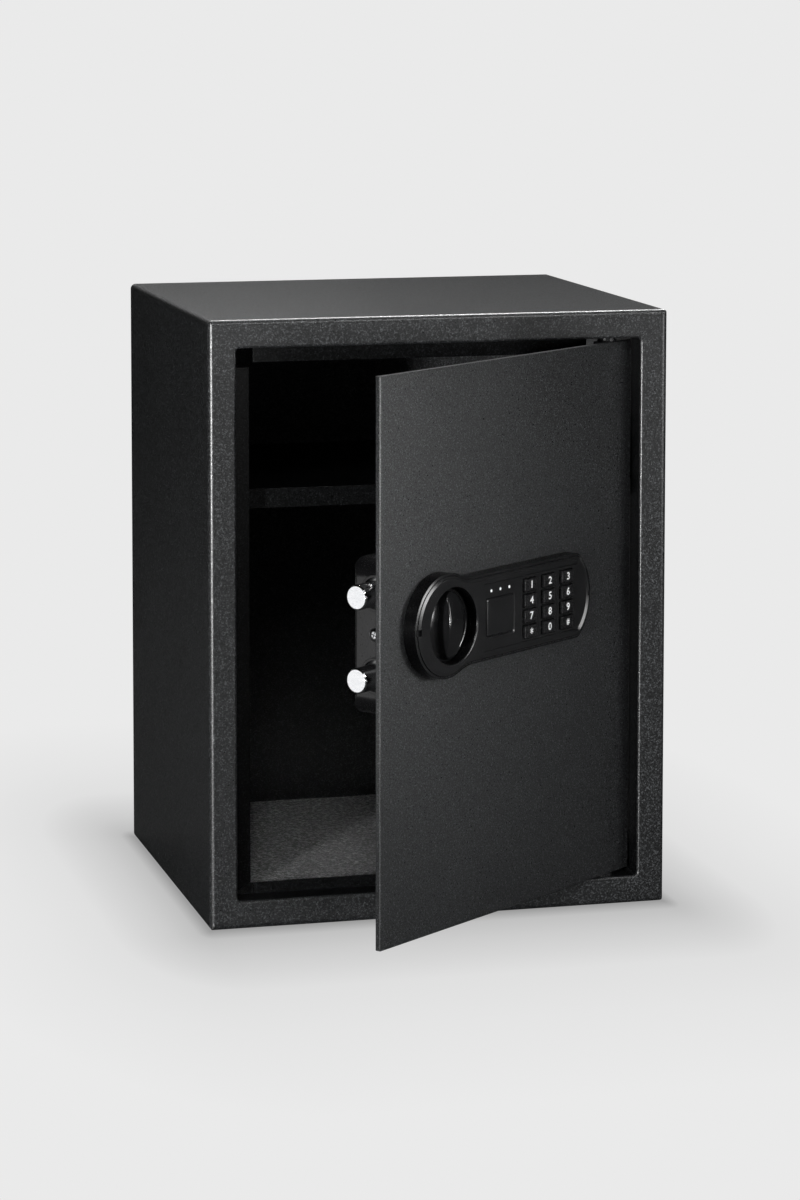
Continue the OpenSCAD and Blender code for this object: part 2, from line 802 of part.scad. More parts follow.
module keylock_nut() {
    nut_v1 = min(keylock_v1, door_t + chassis_t + 1.7);
    color([0.72, 0.7, 0.62]) on_door() difference() {
        translate([keylock_u, nut_v1, keylock_z]) rotate([90, 0, 0])
            cylinder(r = keylock_r + 3.5, h = nut_v1 - door_t - chassis_t, $fn = 6);
        rod_v(keylock_u, keylock_z, keylock_r + press_gap, 0, nut_v1 + through);
    }
}

// Turning core with its key slot and the square end that carries the cam
module keylock_core() {
    color([0.78, 0.76, 0.68]) on_door() translate([keylock_u, 0, keylock_z]) {
        difference() {
            rod_v(0, 0, core_r, keylock_v0 - 0.3, keylock_v1);
            block_uz(key_slot_w, key_slot_h, keylock_v0 - through, keylock_v0 + key_slot_deep);
        }
        block_uz(tail_side, tail_side, keylock_v1 - eps, keylock_v1 + cam_lever_t + 0.6);
    }
}

module keylock_cam() {
    v0 = keylock_v1 + weld_gap;
    color([0.6, 0.6, 0.62]) on_door() translate([keylock_u, 0, keylock_z]) difference() {
        union() {
            rod_v(0, 0, cam_lever_w / 2 + 1.5, v0, v0 + cam_lever_t);
            box_between([-cam_lever_len, v0, -cam_lever_w / 2], [0, v0 + cam_lever_t, cam_lever_w / 2]);
        }
        block_uz(tail_side + 0.1, tail_side + 0.1, 0, v0 + cam_lever_t + through);
    }
}

// Radius of the arc that falls by drop over half the grip's length
function bow_radius(drop) = (pow(grip_len / 2, 2) + drop * drop) / (2 * drop);

// The grip seen from the front: a bar that widens towards its middle
module grip_shape() {
    side_r = bow_radius((grip_mid_w - grip_end_w) / 2);
    intersection() {
        circle(grip_len / 2);
        intersection_for (side = [-1, 1]) translate([side * (side_r - grip_mid_w / 2), 0]) circle(side_r);
    }
}

module knob() {
    crest_r = bow_radius(grip_arch);
    color([0.05, 0.05, 0.055]) on_door() translate([knob_u, 0, knob_z]) difference() {
        union() {
            rod_v(0, 0, disc_r, disc_v0, disc_v1);
            intersection() {
                over_depth(disc_v0 - grip_h - through, disc_v0 + eps) grip_shape();
                rod_u(disc_v0 - grip_h + crest_r, 0, crest_r, -grip_mid_w, grip_mid_w);
            }
            rod_v(0, 0, hub_r, disc_v1 - eps, hub_v1);
        }
        rod_v(0, 0, shaft_r + press_gap, shaft_v0, hub_v1 + through);
    }
}

module knob_shaft() {
    color([0.7, 0.7, 0.72]) on_door() rod_v(knob_u, knob_z, shaft_r, shaft_v0 + weld_gap, shaft_v1);
}

// Cam on the shaft; its pin drives the bolt carriage
module knob_cam() {
    color([0.62, 0.62, 0.64]) on_door() translate([knob_u, 0, knob_z]) rotate([0, 45, 0]) difference() {
        union() {
            rod_v(0, 0, shaft_r + 4, cam_v0, cam_v0 + cam_t);
            rod_v(0, drive_orbit, drive_r + 2, cam_v0, cam_v0 + cam_t);
            box_between([-drive_r - 2, cam_v0, 0], [drive_r + 2, cam_v0 + cam_t, drive_orbit]);
            rod_v(0, drive_orbit, drive_r, cam_v0, carriage_v1 + 1);
        }
        rod_v(0, 0, shaft_r + press_gap, cam_v0 - through, cam_v0 + cam_t + through);
    }
}

// Folded chassis bolted behind the door plate
module lock_chassis() {
    wall_t = chassis_t;
    base_v1 = door_t + chassis_t;
    color([0.55, 0.56, 0.58]) on_door() difference() {
        union() {
            box_between([chassis_u0, door_t, chassis_z0], [chassis_u1, base_v1, chassis_z1]);
            box_between([chassis_u0, door_t, lock_z - end_wall_half],
                [chassis_u0 + wall_t, end_wall_v, lock_z + end_wall_half]);
            box_between([chassis_u1 - wall_t, door_t, lock_z - tail_wall_half],
                [chassis_u1, tail_v, lock_z + tail_wall_half]);
            for (u = [main_u0 + 4, main_u1 - 4], z = [main_z0 + 4, main_z1 - 4])
                rod_v(u, z, post_r, base_v1 - eps, main_v0);
        }
        for (side = [-1, 1])
            rod_u(bolt_v, lock_z + side * bolt_pitch / 2, bolt_r + run_gap, chassis_u0 - through,
                chassis_u0 + wall_t + through);
        rod_u(bolt_v, lock_z, end_screw_r + press_gap, chassis_u0 - through, chassis_u0 + wall_t + through);
        rod_u(tail_screw_v, lock_z, end_screw_r + press_gap, chassis_u1 - wall_t - through,
            chassis_u1 + through);
        rod_v(knob_u, knob_z, shaft_r + 0.5, 0, base_v1 + through);
        rod_v(keylock_u, keylock_z, keylock_r + weld_gap, 0, base_v1 + through);
        rod_v(lead_u, lock_z, lead_hole_r + 1, 0, base_v1 + through);
        for (spot = screw_spots) rod_v(spot[0], spot[1], screw_head_r + 1, 0, base_v1 + through);
        for (spot = stud_spots) rod_v(spot[0], spot[1], stud_r + 0.2, 0, base_v1 + through);
    }
}

module chassis_nuts() {
    nut_v0 = door_t + chassis_t;
    color([0.75, 0.75, 0.77]) on_door() for (spot = stud_spots) difference() {
        translate([spot[0], nut_v0 + nut_t, spot[1]]) rotate([90, 0, 0])
            cylinder(r = nut_r, h = nut_t, $fn = 6);
        rod_v(spot[0], spot[1], stud_r + press_gap, nut_v0 - through, nut_v0 + nut_t + through);
    }
}

// Headed pins that the carriage slides on
module carriage_guides() {
    color([0.7, 0.7, 0.72]) on_door() for (z = guide_z) {
        rod_v(guide_u, z, guide_r, door_t + chassis_t, carriage_v1 + 2);
        rod_v(guide_u, z, guide_head_r, carriage_v1 + 0.5, carriage_v1 + 2);
    }
}

// Sliding plate with two ears for the bolts and a tail that the plunger blocks
module bolt_carriage() {
    half = bolt_pitch / 2 + bolt_r;
    slot_half = drive_r + slot_play;
    slot_u = knob_u + bolt_throw / 2;
    color([0.66, 0.67, 0.69]) on_door() difference() {
        union() {
            box_between([plate_u0, carriage_v0, lock_z - half], [tab_u1, carriage_v1, lock_z + half]);
            box_between([tab_u1 - eps, carriage_v0, knob_z - tail_half],
                [tail_u1, carriage_v1, knob_z + tail_half]);
            for (side = [-1, 1]) translate([0, 0, lock_z + side * bolt_pitch / 2])
                box_between([bolt_rear_u, carriage_v0, -bolt_r], [tab_u1, bolt_v + bolt_r + 1, bolt_r]);
        }
        box_between([slot_u - slot_half, carriage_v0 - through, knob_z + drive_orbit * cos(45) - slot_half],
                    [slot_u + slot_half, carriage_v1 + through, knob_z + drive_orbit + slot_half]);
        for (z = guide_z)
            box_between([guide_u - guide_r - 0.3, carriage_v0 - through, z - guide_r - 0.2],
                        [guide_u + bolt_throw + guide_r + 0.3, carriage_v1 + through, z + guide_r + 0.2]);
        for (u = [plunger_u, plunger_u + bolt_throw])
            box_between([u - notch_half, carriage_v0 - through, knob_z - tail_half - through],
                [u + notch_half, carriage_v1 + through, notch_z]);
        for (side = [-1, 1])
            rod_u(bolt_v, lock_z + side * bolt_pitch / 2, tenon_r + press_gap, bolt_rear_u - through,
                tab_u1 + through);
    }
}

// Round bolt with a bevelled tip and a rivet end
module bolt(side) {
    z = lock_z + side * bolt_pitch / 2;
    color([0.85, 0.86, 0.87]) on_door() {
        rod_u(bolt_v, z, bolt_r, bolt_tip_u + bolt_chamfer, bolt_rear_u);
        translate([bolt_tip_u, bolt_v, z]) rotate([0, 90, 0])
            cylinder(r1 = bolt_r - bolt_chamfer, r2 = bolt_r, h = bolt_chamfer);
        rod_u(bolt_v, z, tenon_r, bolt_rear_u - eps, tab_u1);
    }
}
module upper_bolt() { bolt(1); }
module lower_bolt() { bolt(-1); }

// Bent frame that holds the coil
module solenoid_frame() {
    v0 = door_t + chassis_t;
    color([0.5, 0.51, 0.53]) on_door() difference() {
        union() {
            box_between([plunger_u - solenoid_half, v0, coil_z0 - frame_t],
                [plunger_u + solenoid_half, v0 + coil_r * 0.1, coil_z1 + frame_t]);
            for (z = [coil_z0 - frame_t, coil_z1])
                box_between([plunger_u - solenoid_half, v0, z],
                    [plunger_u + solenoid_half, solenoid_v1, z + frame_t]);
        }
        rod_z(plunger_u, plunger_v, plunger_r + run_gap, coil_z1 - through, coil_z1 + frame_t + through);
        rod_z(plunger_u, plunger_v, coil_r + weld_gap, coil_z0 + eps, coil_z1 - eps);
    }
}

module solenoid_coil() {
    color([0.55, 0.28, 0.12]) on_door() difference() {
        rod_z(plunger_u, plunger_v, coil_r, coil_z0, coil_z1);
        rod_z(plunger_u, plunger_v, plunger_r + 0.4, coil_z0 - through, coil_z1 + through);
    }
}

module solenoid_plunger() {
    color([0.8, 0.8, 0.82]) on_door() rod_z(plunger_u, plunger_v, plunger_r, plunger_z0, plunger_tip_z);
}

// Helical wire as one closed tube
module coil_wire(turns, radius, wire_r, height) {
    sides = 6;
    steps = 12 * turns;
    rings = [for (i = [0 : steps]) let (a = 360 * turns * i / steps, z = height * i / steps)
        for (s = [0 : sides - 1]) let (b = 360 * s / sides, r = radius + wire_r * cos(b))
            [r * cos(a), r * sin(a), z + wire_r * sin(b)]];
    walls = [for (i = [0 : steps - 1], s = [0 : sides - 1]) let (n = (s + 1) % sides)
        [i * sides + s, i * sides + n, (i + 1) * sides + n, (i + 1) * sides + s]];
    caps = [[for (s = [sides - 1 : -1 : 0]) s], [for (s = [0 : sides - 1]) steps * sides + s]];
    polyhedron(points = rings, faces = [for (f = concat(walls, caps))
        [for (k = [len(f) - 1 : -1 : 0]) f[k]]]);
}

module plunger_spring() {
    margin = spring_wire_r + 0.05;
    color([0.7, 0.7, 0.72]) on_door() translate([plunger_u, plunger_v, coil_z0 + margin])
        coil_wire(spring_turns, spring_r, spring_wire_r, plunger_z0 - coil_z0 - 2 * margin);
}

// Circuit board of the lock with the reset switch
module main_board() {
    color([0.05, 0.3, 0.12]) on_door() {
        difference() {
            box_between([main_u0, main_v0, main_z0], [main_u1, main_v1, main_z1]);
            rod_v(lead_u, lock_z, lead_r + 0.3, main_v0 - through, main_v1 + through);
        }
        box_between([reset_u - 3, main_v1 - eps, reset_z - 3], [reset_u + 3, switch_v1, reset_z + 3]);
    }
}

module battery_holder() {
    mid_z = lock_z;
    color([0.08, 0.08, 0.085]) on_door() difference() {
        box_between([holder_u0, holder_v0, mid_z - holder_h / 2],
            [holder_u1, holder_v1, mid_z + holder_h / 2]);
        box_between([holder_u0 + holder_t, holder_v0 + holder_t, mid_z - holder_h / 2 + holder_t],
                    [holder_u1 - holder_t, holder_v1 + through, mid_z + holder_h / 2 - holder_t]);
    }
}

// Four cells side by side, turned end for end in turn
module batteries() {
    color([0.25, 0.26, 0.3]) on_door() for (i = [0 : 3]) {
        u = holder_u0 + holder_t + cell_gap + cell_r + i * (2 * cell_r + cell_gap);
        v = holder_v0 + holder_t + cell_gap / 2 + cell_r;
        way = i % 2 == 0 ? 1 : -1;
        rod_z(u, v, cell_r, lock_z - cell_len / 2, lock_z + cell_len / 2);
        translate([u, v, lock_z + way * (cell_len / 2 + 0.6)]) cylinder(r = 2.7, h = 1.4, center = true);
    }
}

module battery_lid() {
    color([0.06, 0.06, 0.065]) on_door() translate([lid_mid_u, 0, lock_z]) {
        block_uz(lid_w, lid_h, cover_v - lid_t, cover_v);
        for (k = [-1 : 1]) translate([0, 0, lid_h / 2 - rib_len / 2 + rib_pitch * k])
            block_uz(rib_len, rib_w, cover_v - eps, cover_v + 0.8);
    }
}

module reset_button() {
    color([0.7, 0.08, 0.06]) on_door()
        rod_v(reset_u, reset_z, reset_r, switch_v1 + reset_travel + 0.3, cover_v + 0.6);
}

// Rounded hollow box: its open side lies on the door plate
module cover_box(inset) {
    w = cover_len - 2 * inset;
    h = cover_h - 2 * inset;
    d = cover_v - door_t - inset;
    translate([cover_u + cover_len / 2, cover_v - inset, cover_z0 + inset]) mirror([0, 1, 0])
        folded_box(w, d + (inset > 0 ? through : 0), h, cover_corner_r - inset, cover_edge_r - inset);
}

module lock_cover() {
    hole_r = bolt_r + bolt_hole_gap;
    color([0.07, 0.07, 0.075]) on_door() difference() {
        union() {
            cover_box(0);
            for (side = [-1, 1])
                rod_u(bolt_v, lock_z + side * bolt_pitch / 2, hole_r + cover_hole_lip,
                    cover_u - cover_lip_t, cover_u + eps);
            rod_v(reset_u, reset_z, reset_tube_r, cover_v - reset_tube_len, cover_v - cover_t + eps);
        }
        difference() {
            cover_box(cover_t);
            rod_v(reset_u, reset_z, reset_tube_r, cover_v - reset_tube_len, cover_v);
        }
        for (side = [-1, 1])
            rod_u(bolt_v, lock_z + side * bolt_pitch / 2, hole_r, cover_u - through,
                cover_u + cover_t + through);
        rod_u(bolt_v, lock_z, end_screw_r + 0.3, cover_u - through, cover_u + cover_t + through);
        rod_u(tail_screw_v, lock_z, end_screw_r + 0.3, cover_u + cover_len - cover_t - through,
            cover_u + cover_len + through);
        rod_v(reset_u, reset_z, reset_r + reset_gap, cover_v - reset_tube_len - through, cover_v + through);
        translate([lid_mid_u, 0, lock_z])
            block_uz(lid_w + 2 * lid_gap, lid_h + 2 * lid_gap, cover_v - cover_t - through,
                cover_v + through);
    }
}

// One screw in each end of the cover
module cover_screws() {
    head_t = 2.2;
    color([0.85, 0.85, 0.86]) on_door() {
        rod_u(bolt_v, lock_z, end_screw_head_r, cover_u - head_t, cover_u);
        rod_u(bolt_v, lock_z, end_screw_r, cover_u - eps, chassis_u0 + chassis_t + 1.5);
        rod_u(tail_screw_v, lock_z, end_screw_head_r, cover_u + cover_len, cover_u + cover_len + head_t);
        rod_u(tail_screw_v, lock_z, end_screw_r, chassis_u1 - chassis_t - 1.5, cover_u + cover_len + eps);
    }
}

module keypad_lead() {
    color([0.6, 0.6, 0.62]) on_door() rod_v(lead_u, lock_z, lead_r, board_v + board_t, main_v1);
}

// Lead from the coil to the lock's board
module solenoid_lead() {
    wire_r = 0.9;
    z = coil_z0 + 6;
    end_u = main_u0 + 4;
    color([0.7, 0.1, 0.08]) on_door() {
        rod_u(plunger_v, z, wire_r, plunger_u + coil_r, end_u);
        translate([end_u, plunger_v, z]) sphere(wire_r);
        rod_v(end_u, z, wire_r, main_v1, plunger_v);
    }
}

module battery_lead() {
    color([0.7, 0.1, 0.08]) on_door() rod_v(lead_u, lock_z + battery_lead_rise, 1, main_v1, holder_v0);
}

// One key: a cap through the face and a flange under it
module key_piece(name) {
    flange = 2 * key_gap + 2 * key_flange_w;
    color([0.08, 0.08, 0.085]) on_door() at_keys(name) {
        block_uz(key_w, key_h, face_v - key_proud, key_bottom_v);
        block_uz(key_w + flange, key_h + min(flange, key_pitch_z - key_h - 0.6), key_flange_v, key_bottom_v);
    }
}

cabinet_shell();
back_panel();
door_frame();
floor_deck();
floor_mat();
shelf();
shelf_supports();
hinge_bushes();
door_panel();
hinge_blocks();
hinge_pins();
keypad_housing();
housing_screws();
led_lenses();
key_mat();
keypad_board();
keyhole_cover();
keylock_body();
keylock_nut();
keylock_core();
keylock_cam();
knob();
knob_shaft();
knob_cam();
lock_chassis();
chassis_nuts();
carriage_guides();
bolt_carriage();
upper_bolt();
lower_bolt();
solenoid_frame();
solenoid_coil();
solenoid_plunger();
plunger_spring();
main_board();
battery_holder();
batteries();
battery_lid();
reset_button();
lock_cover();
cover_screws();
keypad_lead();
solenoid_lead();
battery_lead();
key_piece("key_1");  // key_1
key_piece("key_2");  // key_2
key_piece("key_3");  // key_3
key_piece("key_4");  // key_4
key_piece("key_5");  // key_5
key_piece("key_6");  // key_6
key_piece("key_7");  // key_7
key_piece("key_8");  // key_8
key_piece("key_9");  // key_9
key_piece("key_star");  // key_star
key_piece("key_0");  // key_0
key_piece("key_hash");  // key_hash
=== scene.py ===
"""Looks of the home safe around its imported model."""
import math

import bmesh
import bpy
from mathutils import Matrix, Vector, noise


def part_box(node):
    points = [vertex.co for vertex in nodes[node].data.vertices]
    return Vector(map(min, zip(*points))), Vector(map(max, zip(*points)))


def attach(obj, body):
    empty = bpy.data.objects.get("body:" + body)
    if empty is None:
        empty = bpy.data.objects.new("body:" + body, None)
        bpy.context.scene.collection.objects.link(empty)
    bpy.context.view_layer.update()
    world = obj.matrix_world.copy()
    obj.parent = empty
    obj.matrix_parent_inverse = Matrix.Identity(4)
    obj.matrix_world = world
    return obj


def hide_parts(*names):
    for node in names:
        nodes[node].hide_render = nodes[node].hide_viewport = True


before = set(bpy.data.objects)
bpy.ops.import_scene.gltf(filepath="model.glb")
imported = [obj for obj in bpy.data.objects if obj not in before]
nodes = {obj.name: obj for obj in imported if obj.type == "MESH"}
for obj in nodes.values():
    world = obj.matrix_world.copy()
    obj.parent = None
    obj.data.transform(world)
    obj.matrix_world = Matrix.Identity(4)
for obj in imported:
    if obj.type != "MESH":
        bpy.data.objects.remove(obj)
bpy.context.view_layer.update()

MM = 0.001

# Door coordinates in millimetres: u from the free edge, v inwards from the outer face, z up
OPEN_ANGLE = math.radians(37.5)
PIVOT_U, PIVOT_V = 282.5, 7.5
PIVOT = Vector((130.0, -140.5, 0.0))


def door(u, v, z):
    """The place in the frame, in metres, of a point given in door coordinates."""
    along, inward = u - PIVOT_U, v - PIVOT_V
    cosine, sine = math.cos(OPEN_ANGLE), math.sin(OPEN_ANGLE)
    x = PIVOT.x + along * cosine - inward * sine
    y = PIVOT.y + along * sine + inward * cosine
    return Vector((x, y, z)) * MM


def link_object(name, data):
    obj = bpy.data.objects.new(name, data)
    bpy.context.scene.collection.objects.link(obj)
    return obj


# Camera

# Fitted to the photo's corners: lens and centre in its pixels, the sensor and the place in millimetres
FOCAL_PX, CENTRE_Y, PHOTO_H = 3736.2, 300.0, 1200
YAW, PITCH, ROLL = math.radians(14.743), math.radians(5.517), math.radians(0.053)
CAMERA_PLACE = Vector((-723.1, -2778.2, 724.2)) * MM
SENSOR = 36.0
NEAR, FAR = 0.1, 60.0


def make_camera():
    data = bpy.data.cameras.new("camera")
    cam = link_object("camera", data)
    data.sensor_width = SENSOR
    data.lens = FOCAL_PX * SENSOR / PHOTO_H
    data.shift_y = (CENTRE_Y - PHOTO_H / 2) / PHOTO_H
    data.clip_start = NEAR
    data.clip_end = FAR
    ahead = Vector((math.sin(YAW) * math.cos(PITCH), math.cos(YAW) * math.cos(PITCH), -math.sin(PITCH)))
    right = Vector((math.cos(YAW), -math.sin(YAW), 0.0))
    down = ahead.cross(right)
    cosine, sine = math.cos(ROLL), math.sin(ROLL)
    x_axis = right * cosine - down * sine
    y_axis = -(right * sine + down * cosine)
    z_axis = -ahead
    turn = Matrix((x_axis, y_axis, z_axis)).transposed().to_4x4()
    cam.matrix_world = Matrix.Translation(CAMERA_PLACE) @ turn
    bpy.context.scene.camera = cam


make_camera()


# Materials
class Paint:
    """A material being built: its nodes are added by short calls."""

    def __init__(self, name, rough=0.5, metal=0.0, specular=0.5):
        self.mat = bpy.data.materials.new(name)
        self.mat.use_nodes = True
        self.tree = self.mat.node_tree
        self.bsdf = self.tree.nodes["Principled BSDF"]
        self.edge = None
        self.put("Roughness", rough)
        self.put("Metallic", metal)
        self.put("Specular IOR Level", specular)
        self.coord = self.add("ShaderNodeTexCoord")

    def put(self, socket, value):
        self.bsdf.inputs[socket].default_value = value

    def add(self, kind, **settings):
        node = self.tree.nodes.new(kind)
        for key, value in settings.items():
            setattr(node, key, value)
        return node

    def link(self, output, socket):
        self.tree.links.new(output, socket)

    def noise(self, scale, detail=3.0, rough=0.5, stretch=None):
        texture = self.add("ShaderNodeTexNoise")
        texture.inputs["Scale"].default_value = scale
        texture.inputs["Detail"].default_value = detail
        texture.inputs["Roughness"].default_value = rough
        source = self.coord.outputs["Object"]
        if stretch:
            mapping = self.add("ShaderNodeMapping")
            mapping.inputs["Scale"].default_value = stretch
            self.link(source, mapping.inputs["Vector"])
            source = mapping.outputs["Vector"]
        self.link(source, texture.inputs["Vector"])
        return texture.outputs["Fac"]

    def ramp(self, factor, stops):
        node = self.add("ShaderNodeValToRGB")
        while len(node.color_ramp.elements) < len(stops):
            node.color_ramp.elements.new(0.5)
        for element, (place, colour) in zip(node.color_ramp.elements, stops):
            element.position = place
            element.color = (*colour, 1.0)
        self.link(factor, node.inputs["Fac"])
        return node.outputs["Color"]

    def span(self, factor, low, high, from_low=0.3, from_high=0.7):
        node = self.add("ShaderNodeMapRange")
        limits = (("From Min", from_low), ("From Max", from_high), ("To Min", low), ("To Max", high))
        for key, value in limits:
            node.inputs[key].default_value = value
        self.link(factor, node.inputs["Value"])
        return node.outputs["Result"]

    def mix(self, factor, first, second, blend="MIX"):
        node = self.add("ShaderNodeMix", data_type="RGBA", blend_type=blend)
        for socket, value in ((node.inputs[0], factor), (node.inputs[6], first), (node.inputs[7], second)):
            if isinstance(value, (int, float)):
                socket.default_value = value
            elif isinstance(value, tuple):
                socket.default_value = (*value, 1.0)
            else:
                self.link(value, socket)
        return node.outputs[2]

    def colour(self, value):
        self.link(value, self.bsdf.inputs["Base Color"])

    def roughness(self, value):
        self.link(value, self.bsdf.inputs["Roughness"])

    def rounded(self, radius):
        bevel = self.add("ShaderNodeBevel", samples=4)
        bevel.inputs["Radius"].default_value = radius
        self.edge = bevel.outputs["Normal"]
        return self.edge

    def bump(self, height, strength, distance):
        node = self.add("ShaderNodeBump")
        node.inputs["Strength"].default_value = strength
        node.inputs["Distance"].default_value = distance
        self.link(height, node.inputs["Height"])
        if self.edge is not None:
            self.link(self.edge, node.inputs["Normal"])
        self.edge = node.outputs["Normal"]
        self.link(self.edge, self.bsdf.inputs["Normal"])


SPECK_GAIN, CLOUD_SHADE, ROUGH_SPREAD = 9.0, 0.8, 0.02


def powder_coat(name, dark, light, edge=0.0005, specular=1.0):
    """Fine textured coat: scattered pale specks, faint clouds and a pebbled surface under a thin gloss."""
    paint = Paint(name, specular=specular)
    speck = paint.noise(scale=950.0, detail=3.0, rough=0.7)
    cloud = paint.noise(scale=14.0, detail=2.0)
    glint = tuple(tone * SPECK_GAIN for tone in light)
    base = paint.ramp(speck, [(0.36, dark), (0.53, light), (0.68, glint)])
    shade = tuple(tone * CLOUD_SHADE for tone in dark)
    paint.colour(paint.mix(paint.span(cloud, low=0.0, high=0.15), base, shade))
    paint.roughness(paint.span(paint.noise(scale=900.0, detail=2.0), low=0.26, high=0.46))
    if edge:
        paint.link(paint.rounded(edge), paint.bsdf.inputs["Coat Normal"])
    paint.put("Coat Weight", 0.25)
    paint.put("Coat Roughness", 0.24)
    paint.bump(paint.noise(scale=640.0, detail=2.0, rough=0.6), strength=0.7, distance=0.00018)
    paint.bump(paint.noise(scale=230.0, detail=2.0), strength=0.10, distance=0.00025)
    return paint.mat


def moulding(name, base, lift, rough, edge=0.0004, depth=0.25, specular=0.8):
    """Moulded plastic with an even tone."""
    paint = Paint(name, specular=specular)
    paint.colour(paint.ramp(paint.noise(scale=60.0), [(0.3, base), (0.75, lift)]))
    gloss = paint.noise(scale=900.0, detail=2.0)
    paint.roughness(paint.span(gloss, rough - ROUGH_SPREAD, rough + ROUGH_SPREAD))
    if edge:
        paint.rounded(edge)
    paint.bump(paint.noise(scale=2600.0, detail=2.0), strength=depth, distance=0.00002)
    return paint.mat


def bright_metal(name, base, tint, rough, stretch, depth=0.15):
    """Plated or turned metal, its marks drawn out by the stretch."""
    paint = Paint(name, metal=1.0)
    paint.colour(paint.ramp(paint.noise(180.0, 4.0, 0.6, stretch), [(0.3, base), (0.8, tint)]))
    paint.roughness(paint.span(paint.noise(700.0, 3.0, 0.6, stretch), rough * 0.7, rough * 1.5))
    paint.rounded(radius=0.0002)
    paint.bump(paint.noise(1500.0, 2.0, 0.6, stretch), strength=depth, distance=0.00003)
    return paint.mat


def felt(name):
    """Dark fibres with pale ones scattered among them in clumps."""
    paint = Paint(name, rough=0.95, specular=0.2)
    fibre = paint.noise(scale=300.0, detail=8.0, rough=0.75)
    clump = paint.noise(scale=110.0, detail=4.0, rough=0.6)
    speck = paint.noise(scale=520.0, detail=3.0, rough=0.7)
    tones = [(0.40, (0.003, 0.003, 0.0033)), (0.51, (0.03, 0.031, 0.032)), (0.63, (0.50, 0.505, 0.51))]
    body = paint.ramp(fibre, tones)
    pale = paint.ramp(speck, [(0.54, (0.0, 0.0, 0.0)), (0.66, (0.70, 0.705, 0.71))])
    paint.colour(paint.mix(paint.span(clump, low=0.35, high=0.9), body, paint.mix(1.0, body, pale, "ADD")))
    paint.bump(fibre, strength=0.9, distance=0.0009)
    paint.put("Sheen Weight", 0.3)
    paint.put("Sheen Roughness", 0.6)
    return paint.mat


def rubber(name, base, lift):
    """Soft rubber or silicone with rounded edges."""
    paint = Paint(name, specular=0.8)
    paint.colour(paint.ramp(paint.noise(scale=90.0), [(0.3, base), (0.75, lift)]))
    paint.roughness(paint.span(paint.noise(scale=1200.0, detail=2.0), low=0.24, high=0.36))
    paint.rounded(radius=0.0005)
    paint.bump(paint.noise(scale=2400.0, detail=2.0), strength=0.2, distance=0.00004)
    return paint.mat


def lamp_lens(name):
    """A pale lens that glows a little."""
    paint = Paint(name, rough=0.18)
    tones = [(0.3, (0.70, 0.73, 0.73)), (0.7, (0.85, 0.86, 0.86))]
    paint.colour(paint.ramp(paint.noise(scale=700.0, detail=2.0), tones))
    paint.put("Emission Color", (0.95, 1.0, 1.0, 1.0))
    paint.put("Emission Strength", 0.25)
    paint.bump(paint.noise(scale=1500.0, detail=2.0), strength=0.1, distance=0.00004)
    return paint.mat


def circuit(name):
    """Solder mask with a brick pattern for its tracks."""
    paint = Paint(name, rough=0.3)
    tracks = paint.add("ShaderNodeTexBrick")
    tracks.inputs["Scale"].default_value = 180.0
    tracks.inputs["Mortar Size"].default_value = 0.012
    tracks.inputs["Color1"].default_value = (0.010, 0.10, 0.035, 1)
    tracks.inputs["Color2"].default_value = (0.012, 0.12, 0.045, 1)
    tracks.inputs["Mortar"].default_value = (0.03, 0.20, 0.08, 1)
    paint.link(paint.coord.outputs["Object"], tracks.inputs["Vector"])
    paint.colour(tracks.outputs["Color"])
    paint.roughness(paint.span(paint.noise(scale=300.0, detail=2.0), low=0.25, high=0.4))
    paint.bump(tracks.outputs["Fac"], strength=0.3, distance=0.00005)
    return paint.mat


def winding(name):
    """Copper wire, a band to each turn."""
    paint = Paint(name, metal=0.9, rough=0.3)
    bands = paint.add("ShaderNodeTexWave", wave_type="BANDS", bands_direction="Z")
    bands.inputs["Scale"].default_value = 600.0
    bands.inputs["Distortion"].default_value = 0.6
    paint.link(paint.coord.outputs["Object"], bands.inputs["Vector"])
    paint.colour(paint.ramp(bands.outputs["Fac"], [(0.2, (0.20, 0.06, 0.02)), (0.8, (0.75, 0.33, 0.14))]))
    paint.roughness(paint.span(paint.noise(scale=300.0, detail=2.0), low=0.25, high=0.4))
    paint.bump(bands.outputs["Fac"], strength=0.7, distance=0.0002)
    return paint.mat


# The cells' ends, as heights in metres, and the jackets' bands by the share between them
CELLS_LOW, CELLS_HIGH = 0.206, 0.269
CELL_BANDS = [
    (0.0, (0.55, 0.55, 0.56)), (0.17, (0.02, 0.022, 0.03)),
    (0.62, (0.02, 0.022, 0.03)), (0.66, (0.28, 0.17, 0.07)),
]


def cell_jacket(name):
    """The cells' printed jackets, banded by height."""
    paint = Paint(name, rough=0.3)
    split = paint.add("ShaderNodeSeparateXYZ")
    paint.link(paint.coord.outputs["Object"], split.inputs["Vector"])
    band = paint.ramp(paint.span(split.outputs["Z"], 0.0, 1.0, CELLS_LOW, CELLS_HIGH), CELL_BANDS)
    wear = paint.span(paint.noise(scale=400.0, detail=2.0), low=0.0, high=0.15)
    paint.colour(paint.mix(wear, band, (0.4, 0.4, 0.4)))
    paint.roughness(paint.span(paint.noise(scale=500.0, detail=2.0), low=0.22, high=0.36))
    paint.bump(paint.noise(scale=900.0, detail=2.0), strength=0.1, distance=0.00004)
    return paint.mat


